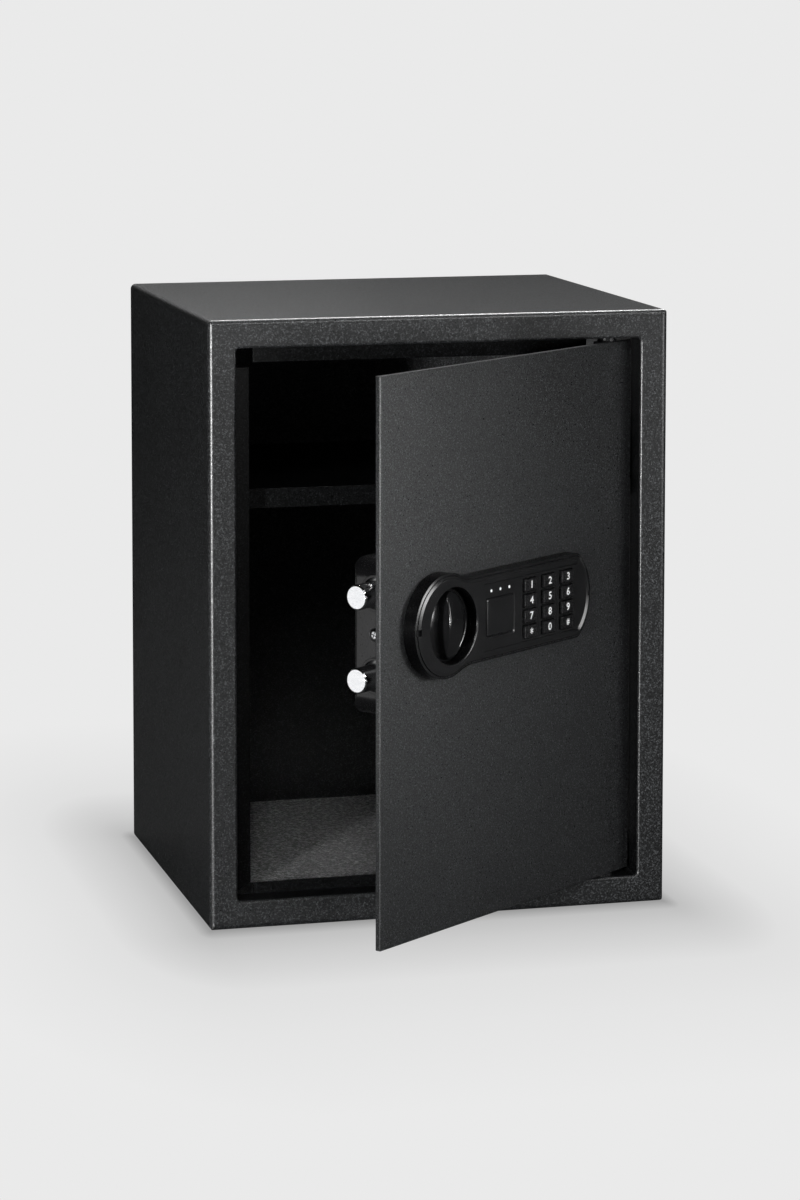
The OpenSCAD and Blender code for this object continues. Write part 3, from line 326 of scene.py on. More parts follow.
def glowing_print_ink(name):
    """White ink with a painted glow that lifts it a little, so that it reads on the dark keys."""
    paint = Paint(name, rough=0.45)
    tones = [(0.3, (0.72, 0.74, 0.74)), (0.6, (0.92, 0.93, 0.93))]
    paint.colour(paint.ramp(paint.noise(scale=900.0, detail=2.0), tones))
    paint.roughness(paint.span(paint.noise(scale=700.0, detail=2.0), low=0.4, high=0.55))
    paint.bump(paint.noise(scale=2500.0, detail=2.0), strength=0.15, distance=0.00003)
    # painted glow: the ink gives out a little light though it is no lamp
    paint.put("Emission Color", (1.0, 1.0, 1.0, 1.0))
    paint.put("Emission Strength", 0.12)
    return paint.mat


COAT_TONES = (0.006, 0.0063, 0.0066), (0.018, 0.0189, 0.0197)
# painted shade: a darker copy of the charcoal coat for the frame behind the opening and the shelf
SHADED_RECESS_TONES = (0.0015, 0.0016, 0.0017), (0.003, 0.0032, 0.0034)
# painted shade: a darker copy of the charcoal coat for the parts inside the cabinet and the hinge bushes
SHADED_INNER_TONES = (0.003, 0.0031, 0.0033), (0.008, 0.0083, 0.0086)
ZINC_TONES = (0.52, 0.53, 0.54), (0.72, 0.73, 0.74)
BRASS_TONES = (0.50, 0.40, 0.22), (0.72, 0.62, 0.40)
CHROME_TONES = (0.74, 0.75, 0.77), (0.86, 0.87, 0.88)
HOUSING_TONES = (0.013, 0.0132, 0.0138), (0.019, 0.0193, 0.02)
# painted shade: a darker copy of the housing's tones for its walls
SHADED_SIDE_TONES = (0.001, 0.001, 0.0012), (0.002, 0.002, 0.0023)
KNOB_TONES = (0.009, 0.0091, 0.0096), (0.014, 0.0142, 0.0148)
COVER_TONES = (0.004, 0.004, 0.0044), (0.008, 0.008, 0.0086)
RED_TONES = (0.35, 0.012, 0.010), (0.50, 0.03, 0.02)

MATERIALS = {
    "shell": powder_coat("charcoal_coat_shell", *COAT_TONES, edge=0.0),
    "door": powder_coat("charcoal_coat_door", *COAT_TONES),
    # painted shade: the frame behind the opening and the shelf in a darker copy of the coat
    "recess": powder_coat("charcoal_coat_painted_shade", *SHADED_RECESS_TONES, specular=0.2),
    # painted shade: the parts inside the cabinet in a darker copy of the coat
    "inner": powder_coat("charcoal_coat_inner_painted_shade", *SHADED_INNER_TONES, specular=0.35),
    "felt": felt("needle_felt"),
    "zinc": bright_metal("zinc_plate", *ZINC_TONES, rough=0.32, stretch=(1.0, 1.0, 6.0)),
    "housing": moulding("satin_black_moulding", *HOUSING_TONES, rough=0.20, edge=0.0002, depth=0.10),
    # painted shade: the housing's walls in a darker copy of its moulding
    "housing_shaded_side": moulding("satin_black_painted_shade_side", *SHADED_SIDE_TONES, rough=0.28, edge=0.0, depth=0.10,
                             specular=0.25),
    "knob": moulding("black_knob", *KNOB_TONES, rough=0.12, edge=0.0003, depth=0.05),
    "cover": moulding("black_inner_cover", *COVER_TONES, rough=0.26, edge=0.0006, depth=0.2),
    "keys": rubber("key_rubber", (0.008, 0.008, 0.0085), (0.013, 0.013, 0.014)),
    # painted shade: the key mat in a darker copy of the keys' rubber, seen in the gaps round the keys
    "shaded_key_mat": rubber("key_silicone_painted_shade", (0.002, 0.002, 0.0022), (0.004, 0.004, 0.0043)),
    "silicone": rubber("grey_silicone", (0.16, 0.16, 0.165), (0.22, 0.22, 0.23)),
    "lens": lamp_lens("lamp_lens"),
    "board": circuit("circuit_board"),
    "brass": bright_metal("turned_brass", *BRASS_TONES, rough=0.26, stretch=(6.0, 6.0, 1.0)),
    "chrome": bright_metal("chrome_plate", *CHROME_TONES, rough=0.11, stretch=(1.0, 1.0, 4.0), depth=0.08),
    "copper": winding("copper_winding"),
    "cell": cell_jacket("cell_jacket"),
    "red": moulding("red_plastic", *RED_TONES, rough=0.3),
    "ink": glowing_print_ink("legend_ink_painted_glow"),
}

KEYS = ["key_1", "key_2", "key_3", "key_4", "key_5", "key_6", "key_7", "key_8", "key_9",
        "key_star", "key_0", "key_hash"]
LEGENDS = "123456789*0#"

NODES_BY_LOOK = {
    "shell": ["cabinet_shell", "back_panel"],
    "door": ["door_panel", "hinge_blocks"],
    # the frame behind the opening and the shelf take the coat's painted shade
    "recess": ["door_frame", "shelf"],
    "inner": ["floor_deck", "shelf_supports", "hinge_bushes"],
    "felt": ["floor_mat"],
    "zinc": ["hinge_pins", "housing_screws", "keylock_cam", "knob_shaft", "knob_cam", "lock_chassis",
             "chassis_nuts", "carriage_guides", "bolt_carriage", "solenoid_frame", "solenoid_plunger",
             "plunger_spring"],
    "housing": ["keypad_housing", "keyhole_cover"],
    "knob": ["knob"],
    "cover": ["lock_cover", "battery_holder", "battery_lid"],
    "keys": KEYS,
    "shaded_key_mat": ["key_mat"],
    "silicone": ["keypad_lead"],
    "lens": ["led_lenses"],
    "board": ["keypad_board", "main_board"],
    "brass": ["keylock_body", "keylock_nut", "keylock_core"],
    "chrome": ["upper_bolt", "lower_bolt", "cover_screws"],
    "copper": ["solenoid_coil"],
    "cell": ["batteries"],
    "red": ["reset_button", "solenoid_lead", "battery_lead"],
}

for look, names in NODES_BY_LOOK.items():
    for name in names:
        mesh = nodes[name].data
        mesh.materials.clear()
        mesh.materials.append(MATERIALS[look])


# Mesh helpers
def add_object(name, mesh, look, body, smooth):
    """A visible piece that rides on body; smooth is the angle, in degrees, from which edges stay sharp."""
    obj = link_object(name, mesh)
    mesh.materials.clear()
    mesh.materials.append(MATERIALS[look])
    if smooth:
        mesh.shade_smooth()
        mesh.set_sharp_from_angle(angle=math.radians(smooth))
    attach(obj, body)
    return obj


def mesh_from(name, bm, to_world=None):
    """The mesh of bm, its faces turned outwards and its points moved by to_world."""
    bmesh.ops.recalc_face_normals(bm, faces=bm.faces)
    if to_world:
        for vertex in bm.verts:
            vertex.co = to_world(*vertex.co)
    mesh = bpy.data.meshes.new(name)
    bm.to_mesh(mesh)
    bm.free()
    return mesh


def solid(name, loops):
    """A scratch object: closed loops of the same length, joined in turn and capped."""
    bm = bmesh.new()
    loft(bm, loops)
    return link_object(name, mesh_from(name, bm))


def loft(bm, loops):
    """Joins closed loops of the same length, each a list of points, into a tube with caps."""
    rows = [[bm.verts.new(point) for point in loop] for loop in loops]
    count = len(rows[0])
    for low, high in zip(rows, rows[1:]):
        for i in range(count):
            bm.faces.new((low[i], low[(i + 1) % count], high[(i + 1) % count], high[i]))
    bm.faces.new(list(reversed(rows[0])))
    bm.faces.new(rows[-1])


def cut(target, cutters):
    """Takes each cutter away from target's mesh, then deletes the cutters."""
    for cutter in cutters:
        modifier = target.modifiers.new("cut", "BOOLEAN")
        modifier.operation = "DIFFERENCE"
        modifier.solver = "EXACT"
        modifier.object = cutter
    done = bpy.data.meshes.new_from_object(target.evaluated_get(bpy.context.evaluated_depsgraph_get()))
    target.modifiers.clear()
    target.data = done
    for cutter in cutters:
        bpy.data.objects.remove(cutter, do_unlink=True)


def door_mesh(name, carved):
    """Deletes a carved scratch object and returns its mesh in its place on the door."""
    mesh = carved.data
    bpy.data.objects.remove(carved, do_unlink=True)
    bm = bmesh.new()
    bm.from_mesh(mesh)
    return mesh_from(name, bm, door)


def full_turn(count):
    """Angles spread evenly round a circle."""
    return [math.tau * i / count for i in range(count)]


def arc(cx, cz, r, start, end, count):
    """Points along an arc with both its ends; the angles are in degrees."""
    turns = [math.radians(start + (end - start) * i / count) for i in range(count + 1)]
    return [(cx + r * math.cos(turn), cz + r * math.sin(turn)) for turn in turns]


def rounded_box(w, h, r, count=5):
    """The outline of a box with rounded corners round the origin."""
    a, b = w / 2 - r, h / 2 - r
    points = []
    for cx, cz, start in ((a, b, 0), (-a, b, 90), (-a, -b, 180), (a, -b, 270)):
        points += arc(cx, cz, r, start, start + 90, count)
    return points


def ring_loops(u, z, rings, count):
    """Circles round an axis square to the door, each given by a radius and a depth."""
    turns = full_turn(count)
    return [[(u + r * math.cos(turn), v, z + r * math.sin(turn)) for turn in turns] for r, v in rings]


def box_loops(u, z, boxes):
    """Rounded boxes round an axis square to the door, each a width, height, corner radius and depth."""
    return [[(u + a, v, z + b) for a, b in rounded_box(w, h, r)] for w, h, r, v in boxes]


# Keypad housing
HOUSE_Z, RING_U, RING_R, END_U, END_R = 245.0, 63.5, 37.5, 238.0, 40.0
HALF_H, NECK_R, CORNER_R = 31.5, 40.0, 8.0
RING_STEPS, NECK_STEPS, BAR_STEPS, CORNER_STEPS, END_STEPS = 40, 10, 12, 8, 12

# Depths: the face, the underside of its wall, and where cutters start and end
FACE_V, UNDER_V = -12.0, -9.8
OVER_V, WITHIN_V, BEHIND_V = -14.0, -8.0, 2.0

# From the wall over a rounded shoulder and a bevel with a fine groove to the face: inset and depth
RIM_PROFILE = [(0.0, 0.0), (0.0, -9.95), (0.06, -10.15), (0.2, -10.3), (1.55, -10.86), (1.6, -10.2),
               (2.15, -10.4), (2.2, -11.13), (4.1, -11.92), (4.3, FACE_V)]
HOLLOW_PROFILE = [(4.6, 1.0), (4.6, UNDER_V)]
WALL_LEAN = 0.35

KNOB_U, KNOB_Z, WELL_R, WELL_WALL, MOUTH_R = 69.0, 244.5, 27.3, 2.2, 1.0
MOUTH_TURNS = range(0, 91, 9)
ROUND_STEPS, TUBE_STEPS, LAMP_STEPS = 128, 96, 32

LOCK_U, LOCK_Z, LOCK_R = 123.5, 244.5, 10.4
PLATE_W, PLATE_H, PLATE_T = 32.0, 27.0, 1.4
PLATE_CORNER, CORNER_SHRINK, SEAT_CORNER = 1.6, 0.6, 1.0
# The plate's pillowed edge, as inset and drop, and its seat's sloped mouth, as gap and depth
PLATE_EDGE = [(0.0, PLATE_T), (0.0, 0.95), (0.12, 0.55), (0.42, 0.24), (0.9, 0.07), (1.5, 0.0)]
PLATE_SEAT = [(0.3, -10.4), (0.3, -11.2), (0.5, -11.5), (1.5, FACE_V), (1.5, OVER_V)]

LAMP_R, LAMP_GAP, LAMP_PITCH, LAMP_RISE = 1.15, 0.1, 10.8, 18.5
LAMP_BACK_V, LAMP_TOP_V, DOME_H = -6.0, -11.9, 0.45
DOME_TURNS = (20, 40, 60, 80)

KEYS_U, KEY_PITCH_U, KEY_PITCH_Z = 182.0, 22.7, 11.3
KEY_WELL_W, KEY_WELL_H, KEY_WELL_CORNER, KEY_WELL_SHIFT = 16.9, 10.2, 1.2, -0.7

PRY_W, PRY_H, PRY_CORNER, PRY_V = 8.6, 4.5, 0.6, -9.9
PRY_PLACES = (RING_U - RING_R + 1.0, END_U - 1.0)

# The key panel's groove: its start, the inset of its deepest line, its size and what the far end adds
GROOVE_START, GROOVE_EDGE, GROOVE_TOP_V = 97.0, 7.4, -13.5
GROOVE_W, GROOVE_DEPTH, FAR_W, FAR_DEPTH = 0.45, 0.5, 2.55, 0.8
FAR_START, FAR_RUN = 205.0, 24.0


def housing_outline(inset):
    """Points round the housing, inset from its edge; every inset gives the same number of points."""
    ring_r, half, neck, corner = RING_R - inset, HALF_H - inset, NECK_R + inset, CORNER_R - inset
    rise = HALF_H + NECK_R
    run = math.sqrt((RING_R + NECK_R) ** 2 - rise ** 2)
    touch = math.degrees(math.atan2(rise, run))
    corner_z = half - corner
    arc_u = END_U - END_R
    corner_run = math.sqrt((END_R - CORNER_R) ** 2 - corner_z ** 2)
    corner_turn = math.degrees(math.atan2(corner_z, corner_run))
    corner_u = arc_u + corner_run
    bar_run = corner_u - RING_U - run
    upper = []
    upper += arc(RING_U, 0, ring_r, 180, touch, RING_STEPS)
    upper += arc(RING_U + run, rise, neck, 180 + touch, 270, NECK_STEPS)[1:]
    upper += [(RING_U + run + bar_run * i / BAR_STEPS, half) for i in range(1, BAR_STEPS)]
    upper += arc(corner_u, corner_z, corner, 90, corner_turn, CORNER_STEPS)
    upper += arc(arc_u, 0, END_R - inset, corner_turn, 0, END_STEPS)[1:]
    lower = [(u, -z) for u, z in reversed(upper[1:-1])]
    return [(u, z + HOUSE_Z) for u, z in upper + lower]


def housing_loops(profile):
    return [[(u, v, z) for u, z in housing_outline(inset)] for inset, v in profile]


def key_places():
    """Each key's name and middle: three columns and four rows."""
    for i, name in enumerate(KEYS):
        yield name, KEYS_U + (i % 3 - 1) * KEY_PITCH_U, HOUSE_Z + (1.5 - i // 3) * KEY_PITCH_Z


def lamp_places():
    return [(LOCK_U + k * LAMP_PITCH, HOUSE_Z + LAMP_RISE) for k in (-1, 0, 1)]


def well_cutter():
    """The knob's well with a rounded mouth."""
    rings = [(WELL_R, BEHIND_V)]
    for degrees in MOUTH_TURNS:
        turn = math.radians(degrees)
        rings.append((WELL_R + MOUTH_R * (1 - math.cos(turn)), FACE_V + MOUTH_R * (1 - math.sin(turn))))
    rings.append((WELL_R + MOUTH_R, OVER_V))
    return solid("well", ring_loops(KNOB_U, KNOB_Z, rings, ROUND_STEPS))


def plate_seat():
    """The recess of the cover plate, its mouth sloped."""
    boxes = [(PLATE_W + 2 * gap, PLATE_H + 2 * gap, SEAT_CORNER + gap, v) for gap, v in PLATE_SEAT]
    return solid("plate_seat", box_loops(LOCK_U, LOCK_Z, boxes))


def panel_groove():
    """The groove that outlines the key panel: narrow along the bar, with a wide slope at the far end."""
    loops = []
    for (u, z), (u1, z1) in zip(housing_outline(0.0), housing_outline(1.0)):
        if u <= GROOVE_START:
            continue
        far = min(1.0, max(0.0, (u - FAR_START) / FAR_RUN))
        far = far * far * (3 - 2 * far)
        outer = GROOVE_EDGE - (GROOVE_W + FAR_W * far)
        inner = GROOVE_EDGE + GROOVE_W
        depth = GROOVE_DEPTH + FAR_DEPTH * far
        section = ((outer, FACE_V), (GROOVE_EDGE, FACE_V + depth), (inner, FACE_V),
                   (inner, GROOVE_TOP_V), (outer, GROOVE_TOP_V))
        loops.append([(u + (u1 - u) * inset, v, z + (z1 - z) * inset) for inset, v in section])
    return solid("panel_groove", loops)


def build_housing():
    shell = solid("keypad_shell", housing_loops(RIM_PROFILE))
    hollow = solid("hollow", housing_loops(HOLLOW_PROFILE))
    tube = ((WELL_R + WELL_WALL, FACE_V), (WELL_R + WELL_WALL, BEHIND_V))
    cut(hollow, [solid("tube", ring_loops(KNOB_U, KNOB_Z, tube, TUBE_STEPS))])
    cutters = [hollow, well_cutter()]
    for name, u, z in key_places():
        boxes = [(KEY_WELL_W, KEY_WELL_H, KEY_WELL_CORNER, v) for v in (OVER_V, WITHIN_V)]
        cutters.append(solid("well_" + name, box_loops(u + KEY_WELL_SHIFT, z, boxes)))
    for u, z in lamp_places():
        rings = [(LAMP_R + LAMP_GAP, v) for v in (OVER_V, WITHIN_V)]
        cutters.append(solid("lamp_hole", ring_loops(u, z, rings, LAMP_STEPS)))
    cutters.append(plate_seat())
    lock_hole = ((LOCK_R, FACE_V), (LOCK_R, BEHIND_V))
    cutters.append(solid("lock_hole", ring_loops(LOCK_U, LOCK_Z, lock_hole, TUBE_STEPS)))
    cutters.append(panel_groove())
    for u in PRY_PLACES:
        boxes = [(PRY_W, PRY_H, PRY_CORNER, v) for v in (OVER_V, PRY_V)]
        cutters.append(solid("pry", box_loops(u, HOUSE_Z, boxes)))
    cut(shell, cutters)
    mesh = door_mesh("keypad_shell", shell)
    obj = add_object("keypad_shell", mesh, "housing", "door", smooth=14.0)
    # painted shade: the walls, square to the face, take a darker copy of the face's moulding
    outward = (door(0.0, -1.0, 0.0) - door(0.0, 0.0, 0.0)).normalized()
    mesh.materials.append(MATERIALS["housing_shaded_side"])
    for face in mesh.polygons:
        if abs(face.normal.dot(outward)) < WALL_LEAN:
            face.material_index = 1
    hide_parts("keypad_housing")


def build_plate():
    """The key lock's cover plate, with pillowed edges."""
    boxes = [(PLATE_W - 2 * inset, PLATE_H - 2 * inset, PLATE_CORNER - inset * CORNER_SHRINK, FACE_V + drop)
             for inset, drop in PLATE_EDGE]
    bm = bmesh.new()
    loft(bm, box_loops(LOCK_U, LOCK_Z, boxes))
    mesh = mesh_from("lock_plate", bm, door)
    obj = add_object("lock_plate", mesh, "housing", "keyhole_flap", smooth=40.0)
    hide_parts("keyhole_cover")


def build_lamps():
    """Three small domed lenses."""
    rings = [(LAMP_R, LAMP_BACK_V), (LAMP_R, LAMP_TOP_V)]
    for degrees in DOME_TURNS:
        turn = math.radians(degrees)
        rings.append((LAMP_R * math.cos(turn), LAMP_TOP_V - DOME_H * math.sin(turn)))
    bm = bmesh.new()
    for u, z in lamp_places():
        loft(bm, ring_loops(u, z, rings, LAMP_STEPS))
    mesh = mesh_from("lamp_lenses", bm, door)
    obj = add_object("lamp_lenses", mesh, "lens", "door", smooth=40.0)
    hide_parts("led_lenses")


build_housing()
build_plate()
build_lamps()


# Knob

# The disc with a rounded rim and a faint ring: radius and depth
DISC_RINGS = [(25.6, -1.0), (26.8, -1.0), (26.8, -3.3), (26.6, -3.75), (26.0, -4.0), (24.6, -4.0),
              (24.3, -3.8), (23.9, -3.8), (23.6, -4.0), (3.0, -4.0)]
DISC_V, GRIP_SINK = -4.0, 0.6
GRIP_LENGTH, GRIP_MID_W, GRIP_END_W, GRIP_HEIGHT, GRIP_ARCH = 48.4, 17.2, 12.6, 11.0, 6.0
GRIP_STEPS, EDGE_STEPS, SIDE_STEPS, CREST_STEPS = 40, 12, 3, 6
END_ROUND, END_MIN, TOP_SHARE, EDGE_MAX = 0.20, 0.02, 0.88, 1.1
SIDE_BULGE, SIDE_START, CROWN = 0.35, 0.4, 0.35 / 8


def grip_section(share):
    """The grip's cross-section, widths and heights over the disc, at a share of its half length."""
    bow = GRIP_END_W / 2 + (GRIP_MID_W - GRIP_END_W) / 2 * (1 - share ** 2)
    past = max(0.0, (share - (1 - END_ROUND)) / END_ROUND)
    half = bow * math.sqrt(max(0.0, 1 - past ** 2)) + END_MIN
    top = GRIP_HEIGHT - GRIP_ARCH * share ** 2
    top_half = half * TOP_SHARE
    edge = min(EDGE_MAX, top_half * 0.5, top * 0.5)
    side = [(-half, GRIP_SINK)]
    for k in range(SIDE_STEPS + 1):
        up = k / SIDE_STEPS
        height = (top - edge) * (SIDE_START + (1 - SIDE_START) * up)
        side.append((-top_half - SIDE_BULGE * (1 - up), height))
    for k in range(1, EDGE_STEPS + 1):
        a = math.pi - k * (math.pi / 2) / EDGE_STEPS
        side.append((-top_half + edge + edge * math.cos(a), top - edge + edge * math.sin(a)))
    crest = []
    for k in range(1, CREST_STEPS):
        across = -top_half + edge + (2 * top_half - 2 * edge) * k / CREST_STEPS
        crest.append((across, top + CROWN * top_half * math.sin(math.pi * k / CREST_STEPS)))
    return side + crest + [(-a, b) for a, b in reversed(side)]


def build_knob():
    """A disc with a grip across it whose crest arches and whose sides bow out."""
    bm = bmesh.new()
    loft(bm, ring_loops(KNOB_U, KNOB_Z, DISC_RINGS, ROUND_STEPS))
    rows = []
    for i in range(GRIP_STEPS + 1):
        place = -1 + 2 * i / GRIP_STEPS
        along = math.sin(place * math.pi / 2) * GRIP_LENGTH / 2
        section = grip_section(abs(along) / (GRIP_LENGTH / 2))
        rows.append([(KNOB_U + a, DISC_V - min(b, GRIP_HEIGHT) + GRIP_SINK, KNOB_Z + along)
                     for a, b in section])
    loft(bm, rows)
    mesh = mesh_from("turning_knob", bm, door)
    obj = add_object("knob_grip", mesh, "knob", "turning_knob", smooth=35.0)
    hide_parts("knob")


build_knob()


# Legends
LEGEND_SIZE, STAR_SIZE, HASH_SIZE = 7.6, 9.5, 6.2
DIGIT_WIDEN, SIGN_WIDEN = 1.12, 0.92
INK_HALF_T, STROKE_OFFSET = 0.02, 0.14
LEGEND_SHIFT_U, KEY_RISE = 0.5, 1.5


def build_legend(name, text, u, z):
    """A printed figure, centred a little to the right on its key."""
    curve = bpy.data.curves.new(name, "FONT")
    curve.body = text
    curve.align_x = "CENTER"
    curve.align_y = "CENTER"
    curve.size = {"*": STAR_SIZE, "#": HASH_SIZE}.get(text, LEGEND_SIZE)
    curve.extrude = INK_HALF_T
    curve.offset = STROKE_OFFSET
    curve.resolution_u = 4
    obj = link_object(name, curve)
    mesh = bpy.data.meshes.new_from_object(obj.evaluated_get(bpy.context.evaluated_depsgraph_get()))
    bpy.data.objects.remove(obj, do_unlink=True)
    xs = [vertex.co.x for vertex in mesh.vertices]
    ys = [vertex.co.y for vertex in mesh.vertices]
    middle_x, middle_y = (min(xs) + max(xs)) / 2, (min(ys) + max(ys)) / 2
    widen = SIGN_WIDEN if text in "*#" else DIGIT_WIDEN
    for vertex in mesh.vertices:
        x, y, rise = vertex.co
        across = u + LEGEND_SHIFT_U + (x - middle_x) * widen
        vertex.co = door(across, FACE_V - KEY_RISE - rise - INK_HALF_T, z + (y - middle_y))
    return mesh


for (name, u, z), text in zip(key_places(), LEGENDS):
    mesh = build_legend("legend_" + name, text, u, z)
    add_object("legend_" + name, mesh, "ink", name + "_body", smooth=0)


# Felt mat
MAT_CUT_X, MAT_CUT_Y = 121.0, -115.26
MAT_STEP, SAME = 3.1, 0.01
NAP_SINK, EDGE_SINK = 0.55, 0.7
# Uneven felt: how often each wave comes per millimetre, its height and its layer of the noise
MAT_WAVES = ((0.035, 0.35, 0.0), (0.3, 0.22, 3.0))


def even_steps(low, high, step, stops=()):
    """Positions from low to high about one step apart, with the stops among them."""
    places = []
    marks = [low, *sorted(stops), high]
    for a, b in zip(marks, marks[1:]):
        count = max(1, round((b - a) / step))
        places += [a + (b - a) * i / count for i in range(count)]
    return places + [high]


def build_mat():
    """Needle felt lying on the raised floor, cut away where the door's hinge edge swings through."""
    low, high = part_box("floor_mat")
    x0, y0, z0 = (c / MM for c in low)
    x1, y1, z1 = (c / MM for c in high)
    xs = even_steps(x0, x1, MAT_STEP, (MAT_CUT_X,))
    ys = even_steps(y0, y1, MAT_STEP, (MAT_CUT_Y,))
    nx, ny = len(xs) - 1, len(ys) - 1

    def kept(i, j):
        inside = 0 <= i < nx and 0 <= j < ny
        return inside and not (xs[i] >= MAT_CUT_X - SAME and ys[j + 1] <= MAT_CUT_Y + SAME)

    bm = bmesh.new()
    grid = {}

    def point(i, j, upper):
        if (i, j, upper) not in grid:
            around = [kept(a, b) for a in (i - 1, i) for b in (j - 1, j)]
            x, y = xs[i], ys[j]
            lift = sum(noise.noise(Vector((x * often, y * often, layer))) * height
                       for often, height, layer in MAT_WAVES)
            sink = 0.0 if all(around) else EDGE_SINK
            z = min(z1, z1 - NAP_SINK + lift - sink) if upper else z0
            grid[i, j, upper] = bm.verts.new((x, y, z))
        return grid[i, j, upper]

    for i in range(nx):
        for j in range(ny):
            if not kept(i, j):
                continue
            corners = ((i, j), (i + 1, j), (i + 1, j + 1), (i, j + 1))
            bm.faces.new([point(a, b, 1) for a, b in corners])
            bm.faces.new([point(a, b, 0) for a, b in reversed(corners)])
            for k, (di, dj) in enumerate(((0, -1), (1, 0), (0, 1), (-1, 0))):
                if not kept(i + di, j + dj):
                    (a, b), (c, d) = corners[k], corners[(k + 1) % 4]
                    bm.faces.new((point(a, b, 0), point(c, d, 0), point(c, d, 1), point(a, b, 1)))
    mesh = mesh_from("felt_mat", bm, lambda x, y, z: Vector((x, y, z)) * MM)
    obj = add_object("felt_mat", mesh, "felt", "cabinet", smooth=60.0)
    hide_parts("floor_mat")


build_mat()


# Cover screws

# Each head's u, the way that it faces along u, its v and its z
COVER_SCREWS = ((38.0, -1, 34.0, 237.5), (190.0, 1, 20.0, 237.5))
# From the shank to the middle of the head: radius and height
HEAD_PROFILE = [(1.95, -4.0), (1.95, 0.0), (4.8, 0.0), (4.8, 0.75), (4.65, 1.25), (4.2, 1.7), (3.4, 2.02),
                (2.2, 2.18), (1.0, 2.2)]
HEAD_STEPS = 48
# A slot of the cross recess: its length, width, corner and turn, then its height and scale at both ends
SLOT_L, SLOT_W, SLOT_CORNER, SLOT_TURN = 5.4, 1.0, 0.3, 20
SLOT_ENDS = ((3.0, 1.0), (1.1, 0.55))


def build_cover_screws():
    """Pan heads with a cross recess, one at each end of the inner cover."""
    bm = bmesh.new()
    turns = full_turn(HEAD_STEPS)
    for u, way, v, z in COVER_SCREWS:
        loft(bm, [[(u + way * h, v + r * math.cos(angle), z + r * math.sin(angle)) for angle in turns]
                  for r, h in HEAD_PROFILE])
    heads = link_object("heads", mesh_from("heads", bm))
    shape = rounded_box(SLOT_L, SLOT_W, SLOT_CORNER, 2)
    cutters = []
    for u, way, v, z in COVER_SCREWS:
        for turn in (SLOT_TURN, SLOT_TURN + 90):
            cosine, sine = math.cos(math.radians(turn)), math.sin(math.radians(turn))
            turned = [(x * cosine - y * sine, x * sine + y * cosine) for x, y in shape]
            loops = [[(u + way * h, v + k * a, z + k * b) for a, b in turned] for h, k in SLOT_ENDS]
            cutters.append(solid("slot", loops))
    cut(heads, cutters)
    mesh = door_mesh("cover_screw_heads", heads)
    obj = add_object("cover_screw_heads", mesh, "chrome", "door", smooth=35.0)
    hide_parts("cover_screws")


build_cover_screws()


# Stage and light
BACKDROP, FILL, SHINE = 0.823, 0.11, 0.003
FLOOR_RINGS, FLOOR_STEPS = (0.02, 0.3, 0.8, 1.5, 2.4), 64
FLOOR_TONES = [(0.3, (0.17, 0.17, 0.17)), (0.7, (0.18, 0.18, 0.18))]
FLOOR_MIRRORED = (0.05, 0.05, 0.05, 1.0)
# The floor's shadow: the base that it surrounds, its reach, and its tones by the share of the reach
BASE_LOW, BASE_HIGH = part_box("cabinet_shell")
BASE_W, BASE_D = BASE_HIGH[0] - BASE_LOW[0], BASE_HIGH[1] - BASE_LOW[1]
SHADOW_REACH, SHADOW_STRETCH = 0.20, 0.45
SHADOW_TONES = ((0.0, 0.34), (0.05, 0.53), (0.15, 0.61), (0.25, 0.67), (0.36, 0.745), (0.6, 0.783),
                (1.0, BACKDROP))
SHADOW_STEPS = (
    ("ABSOLUTE", None),
    ("SUBTRACT", (BASE_W / 2, BASE_D / 2, 0.0)),
    ("MAXIMUM", (0.0, 0.0, 0.0)),
    ("MULTIPLY", (1.0, SHADOW_STRETCH, 0.0)),
)

# Name, place, target, size, power and, for some, spread in degrees
LIGHTS = [
    ("strip_left", (-1.3, -1.7, 0.16), (-0.17, -0.15, 0.18), (0.12, 0.42), 28.0),
    ("front_left", (-1.0, -2.0, 1.6), (0.0, -0.15, 0.3), (0.9, 0.9), 4.3),
    ("front_low", (0.15, -2.2, 0.35), (0.0, -0.15, 0.25), (0.6, 0.45), 0.95),
    ("right_near", (0.50, -0.66, 0.36), (-0.12, -0.33, 0.30), (0.3, 0.45), 0.10, 60.0),
    ("right_side", (0.95, -0.80, 0.42), (-0.12, -0.33, 0.28), (0.3, 0.5), 0.24, 40.0),
    ("left_card", (-0.56, -0.275, 0.150), (-0.0975, -0.282, 0.2375), (0.14, 0.20), 0.0026, 30.0),
    ("rim_card", (0.74, -0.90, 0.39), (-0.05, -0.30, 0.25), (0.16, 0.32), 0.9),
    ("edge_back", (0.45, 0.60, 1.79), (0.0, -0.15, 0.45), (0.7, 0.12), 17.0),
    ("edge_front", (0.51, -1.48, 1.54), (0.0, -0.15, 0.45), (0.7, 0.12), 4.0),
    ("mat_card", (-0.46, -1.60, 0.95), (-0.11, -0.08, 0.03), (0.3, 0.3), 0.036, 10.0),
    ("back_low", (0.3, 1.9, 0.85), (0.0, 0.0, 0.42), (1.8, 0.35), 0.18),
    ("back_high", (-0.2, 1.3, 1.2), (-0.1, -0.1, 0.43), (1.0, 0.3), 2.0),
]


def by_ray(tree, base, mirrored, seen):
    """One shader lights the object, another is mirrored in it and the third is seen by the camera."""
    path = tree.nodes.new("ShaderNodeLightPath")
    for ray, other in (("Is Glossy Ray", mirrored), ("Is Camera Ray", seen)):
        mixed = tree.nodes.new("ShaderNodeMixShader")
        tree.links.new(path.outputs[ray], mixed.inputs[0])
        tree.links.new(base.outputs[0], mixed.inputs[1])
        tree.links.new(other.outputs[0], mixed.inputs[2])
        base = mixed
    return base.outputs[0]


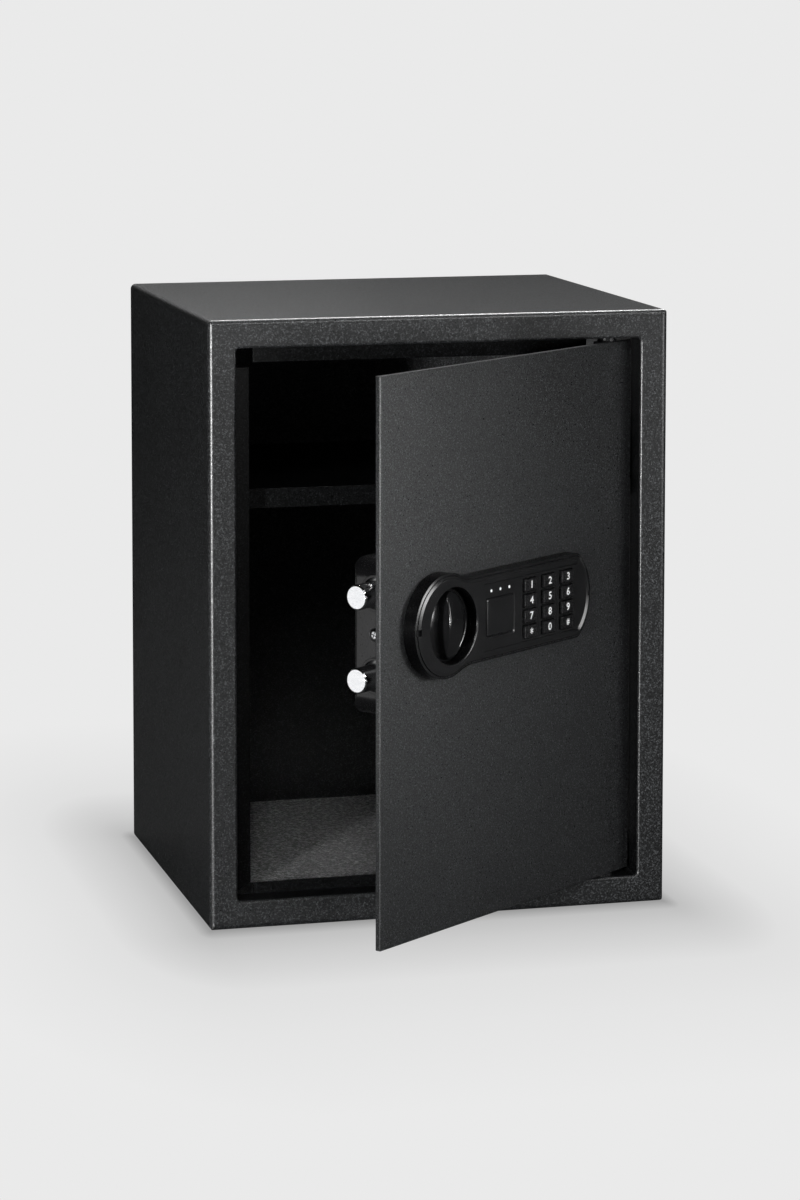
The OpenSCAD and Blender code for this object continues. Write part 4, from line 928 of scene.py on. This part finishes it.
def shadow_tone(paint):
    """The backdrop's grey with a soft shadow round the base, longer to the front and back."""
    away = paint.coord.outputs["Object"]
    for operation, value in SHADOW_STEPS:
        step = paint.add("ShaderNodeVectorMath", operation=operation)
        paint.link(away, step.inputs[0])
        if value:
            step.inputs[1].default_value = value
        away = step.outputs["Vector"]
    reach = paint.add("ShaderNodeVectorMath", operation="LENGTH")
    paint.link(away, reach.inputs[0])
    share = paint.span(reach.outputs["Value"], 0.0, 1.0, 0.0, SHADOW_REACH)
    return paint.ramp(share, [(place, (tone, tone, tone)) for place, tone in SHADOW_TONES])


def make_floor():
    """A round floor whose seen tone ends in the backdrop's grey, so that no horizon shows."""
    bm = bmesh.new()
    turns = full_turn(FLOOR_STEPS)
    rows = [[bm.verts.new((r * math.cos(turn), r * math.sin(turn), 0.0)) for turn in turns]
            for r in FLOOR_RINGS]
    bm.faces.new(rows[0])
    for low, high in zip(rows, rows[1:]):
        for i in range(FLOOR_STEPS):
            bm.faces.new((low[i], high[i], high[(i + 1) % FLOOR_STEPS], low[(i + 1) % FLOOR_STEPS]))
    mesh = bpy.data.meshes.new("floor")
    bm.to_mesh(mesh)
    bm.free()
    obj = link_object("floor", mesh)
    paint = Paint("studio_floor", rough=0.9, specular=0.0)
    paint.colour(paint.ramp(paint.noise(scale=3.0, detail=2.0), FLOOR_TONES))
    seen = paint.add("ShaderNodeEmission")
    paint.link(shadow_tone(paint), seen.inputs["Color"])
    seen.inputs["Strength"].default_value = 1.0
    mirrored = paint.add("ShaderNodeBsdfDiffuse")
    mirrored.inputs["Color"].default_value = FLOOR_MIRRORED
    surface = paint.tree.nodes["Material Output"].inputs["Surface"]
    paint.link(by_ray(paint.tree, paint.bsdf, mirrored, seen), surface)
    mesh.materials.append(paint.mat)


def make_world():
    world = bpy.data.worlds.new("studio")
    bpy.context.scene.world = world
    world.use_nodes = True
    tree = world.node_tree
    tree.nodes.clear()
    out = tree.nodes.new("ShaderNodeOutputWorld")
    parts = []
    for tone, strength in ((1.0, FILL), (1.0, SHINE), (BACKDROP, 1.0)):
        node = tree.nodes.new("ShaderNodeBackground")
        node.inputs["Color"].default_value = (tone, tone, tone, 1)
        node.inputs["Strength"].default_value = strength
        parts.append(node)
    tree.links.new(by_ray(tree, *parts), out.inputs["Surface"])


def area_light(name, place, target, size, power, spread=180.0):
    data = bpy.data.lights.new(name, "AREA")
    data.shape = "RECTANGLE"
    data.size, data.size_y = size
    data.energy = power
    data.spread = math.radians(spread)
    obj = link_object(name, data)
    obj.visible_camera = False
    place, target = Vector(place), Vector(target)
    turn = (target - place).to_track_quat("-Z", "Y").to_matrix().to_4x4()
    obj.matrix_world = Matrix.Translation(place) @ turn


make_floor()
make_world()
for light in LIGHTS:
    area_light(*light)

scene = bpy.context.scene
scene.view_settings.view_transform = "Standard"
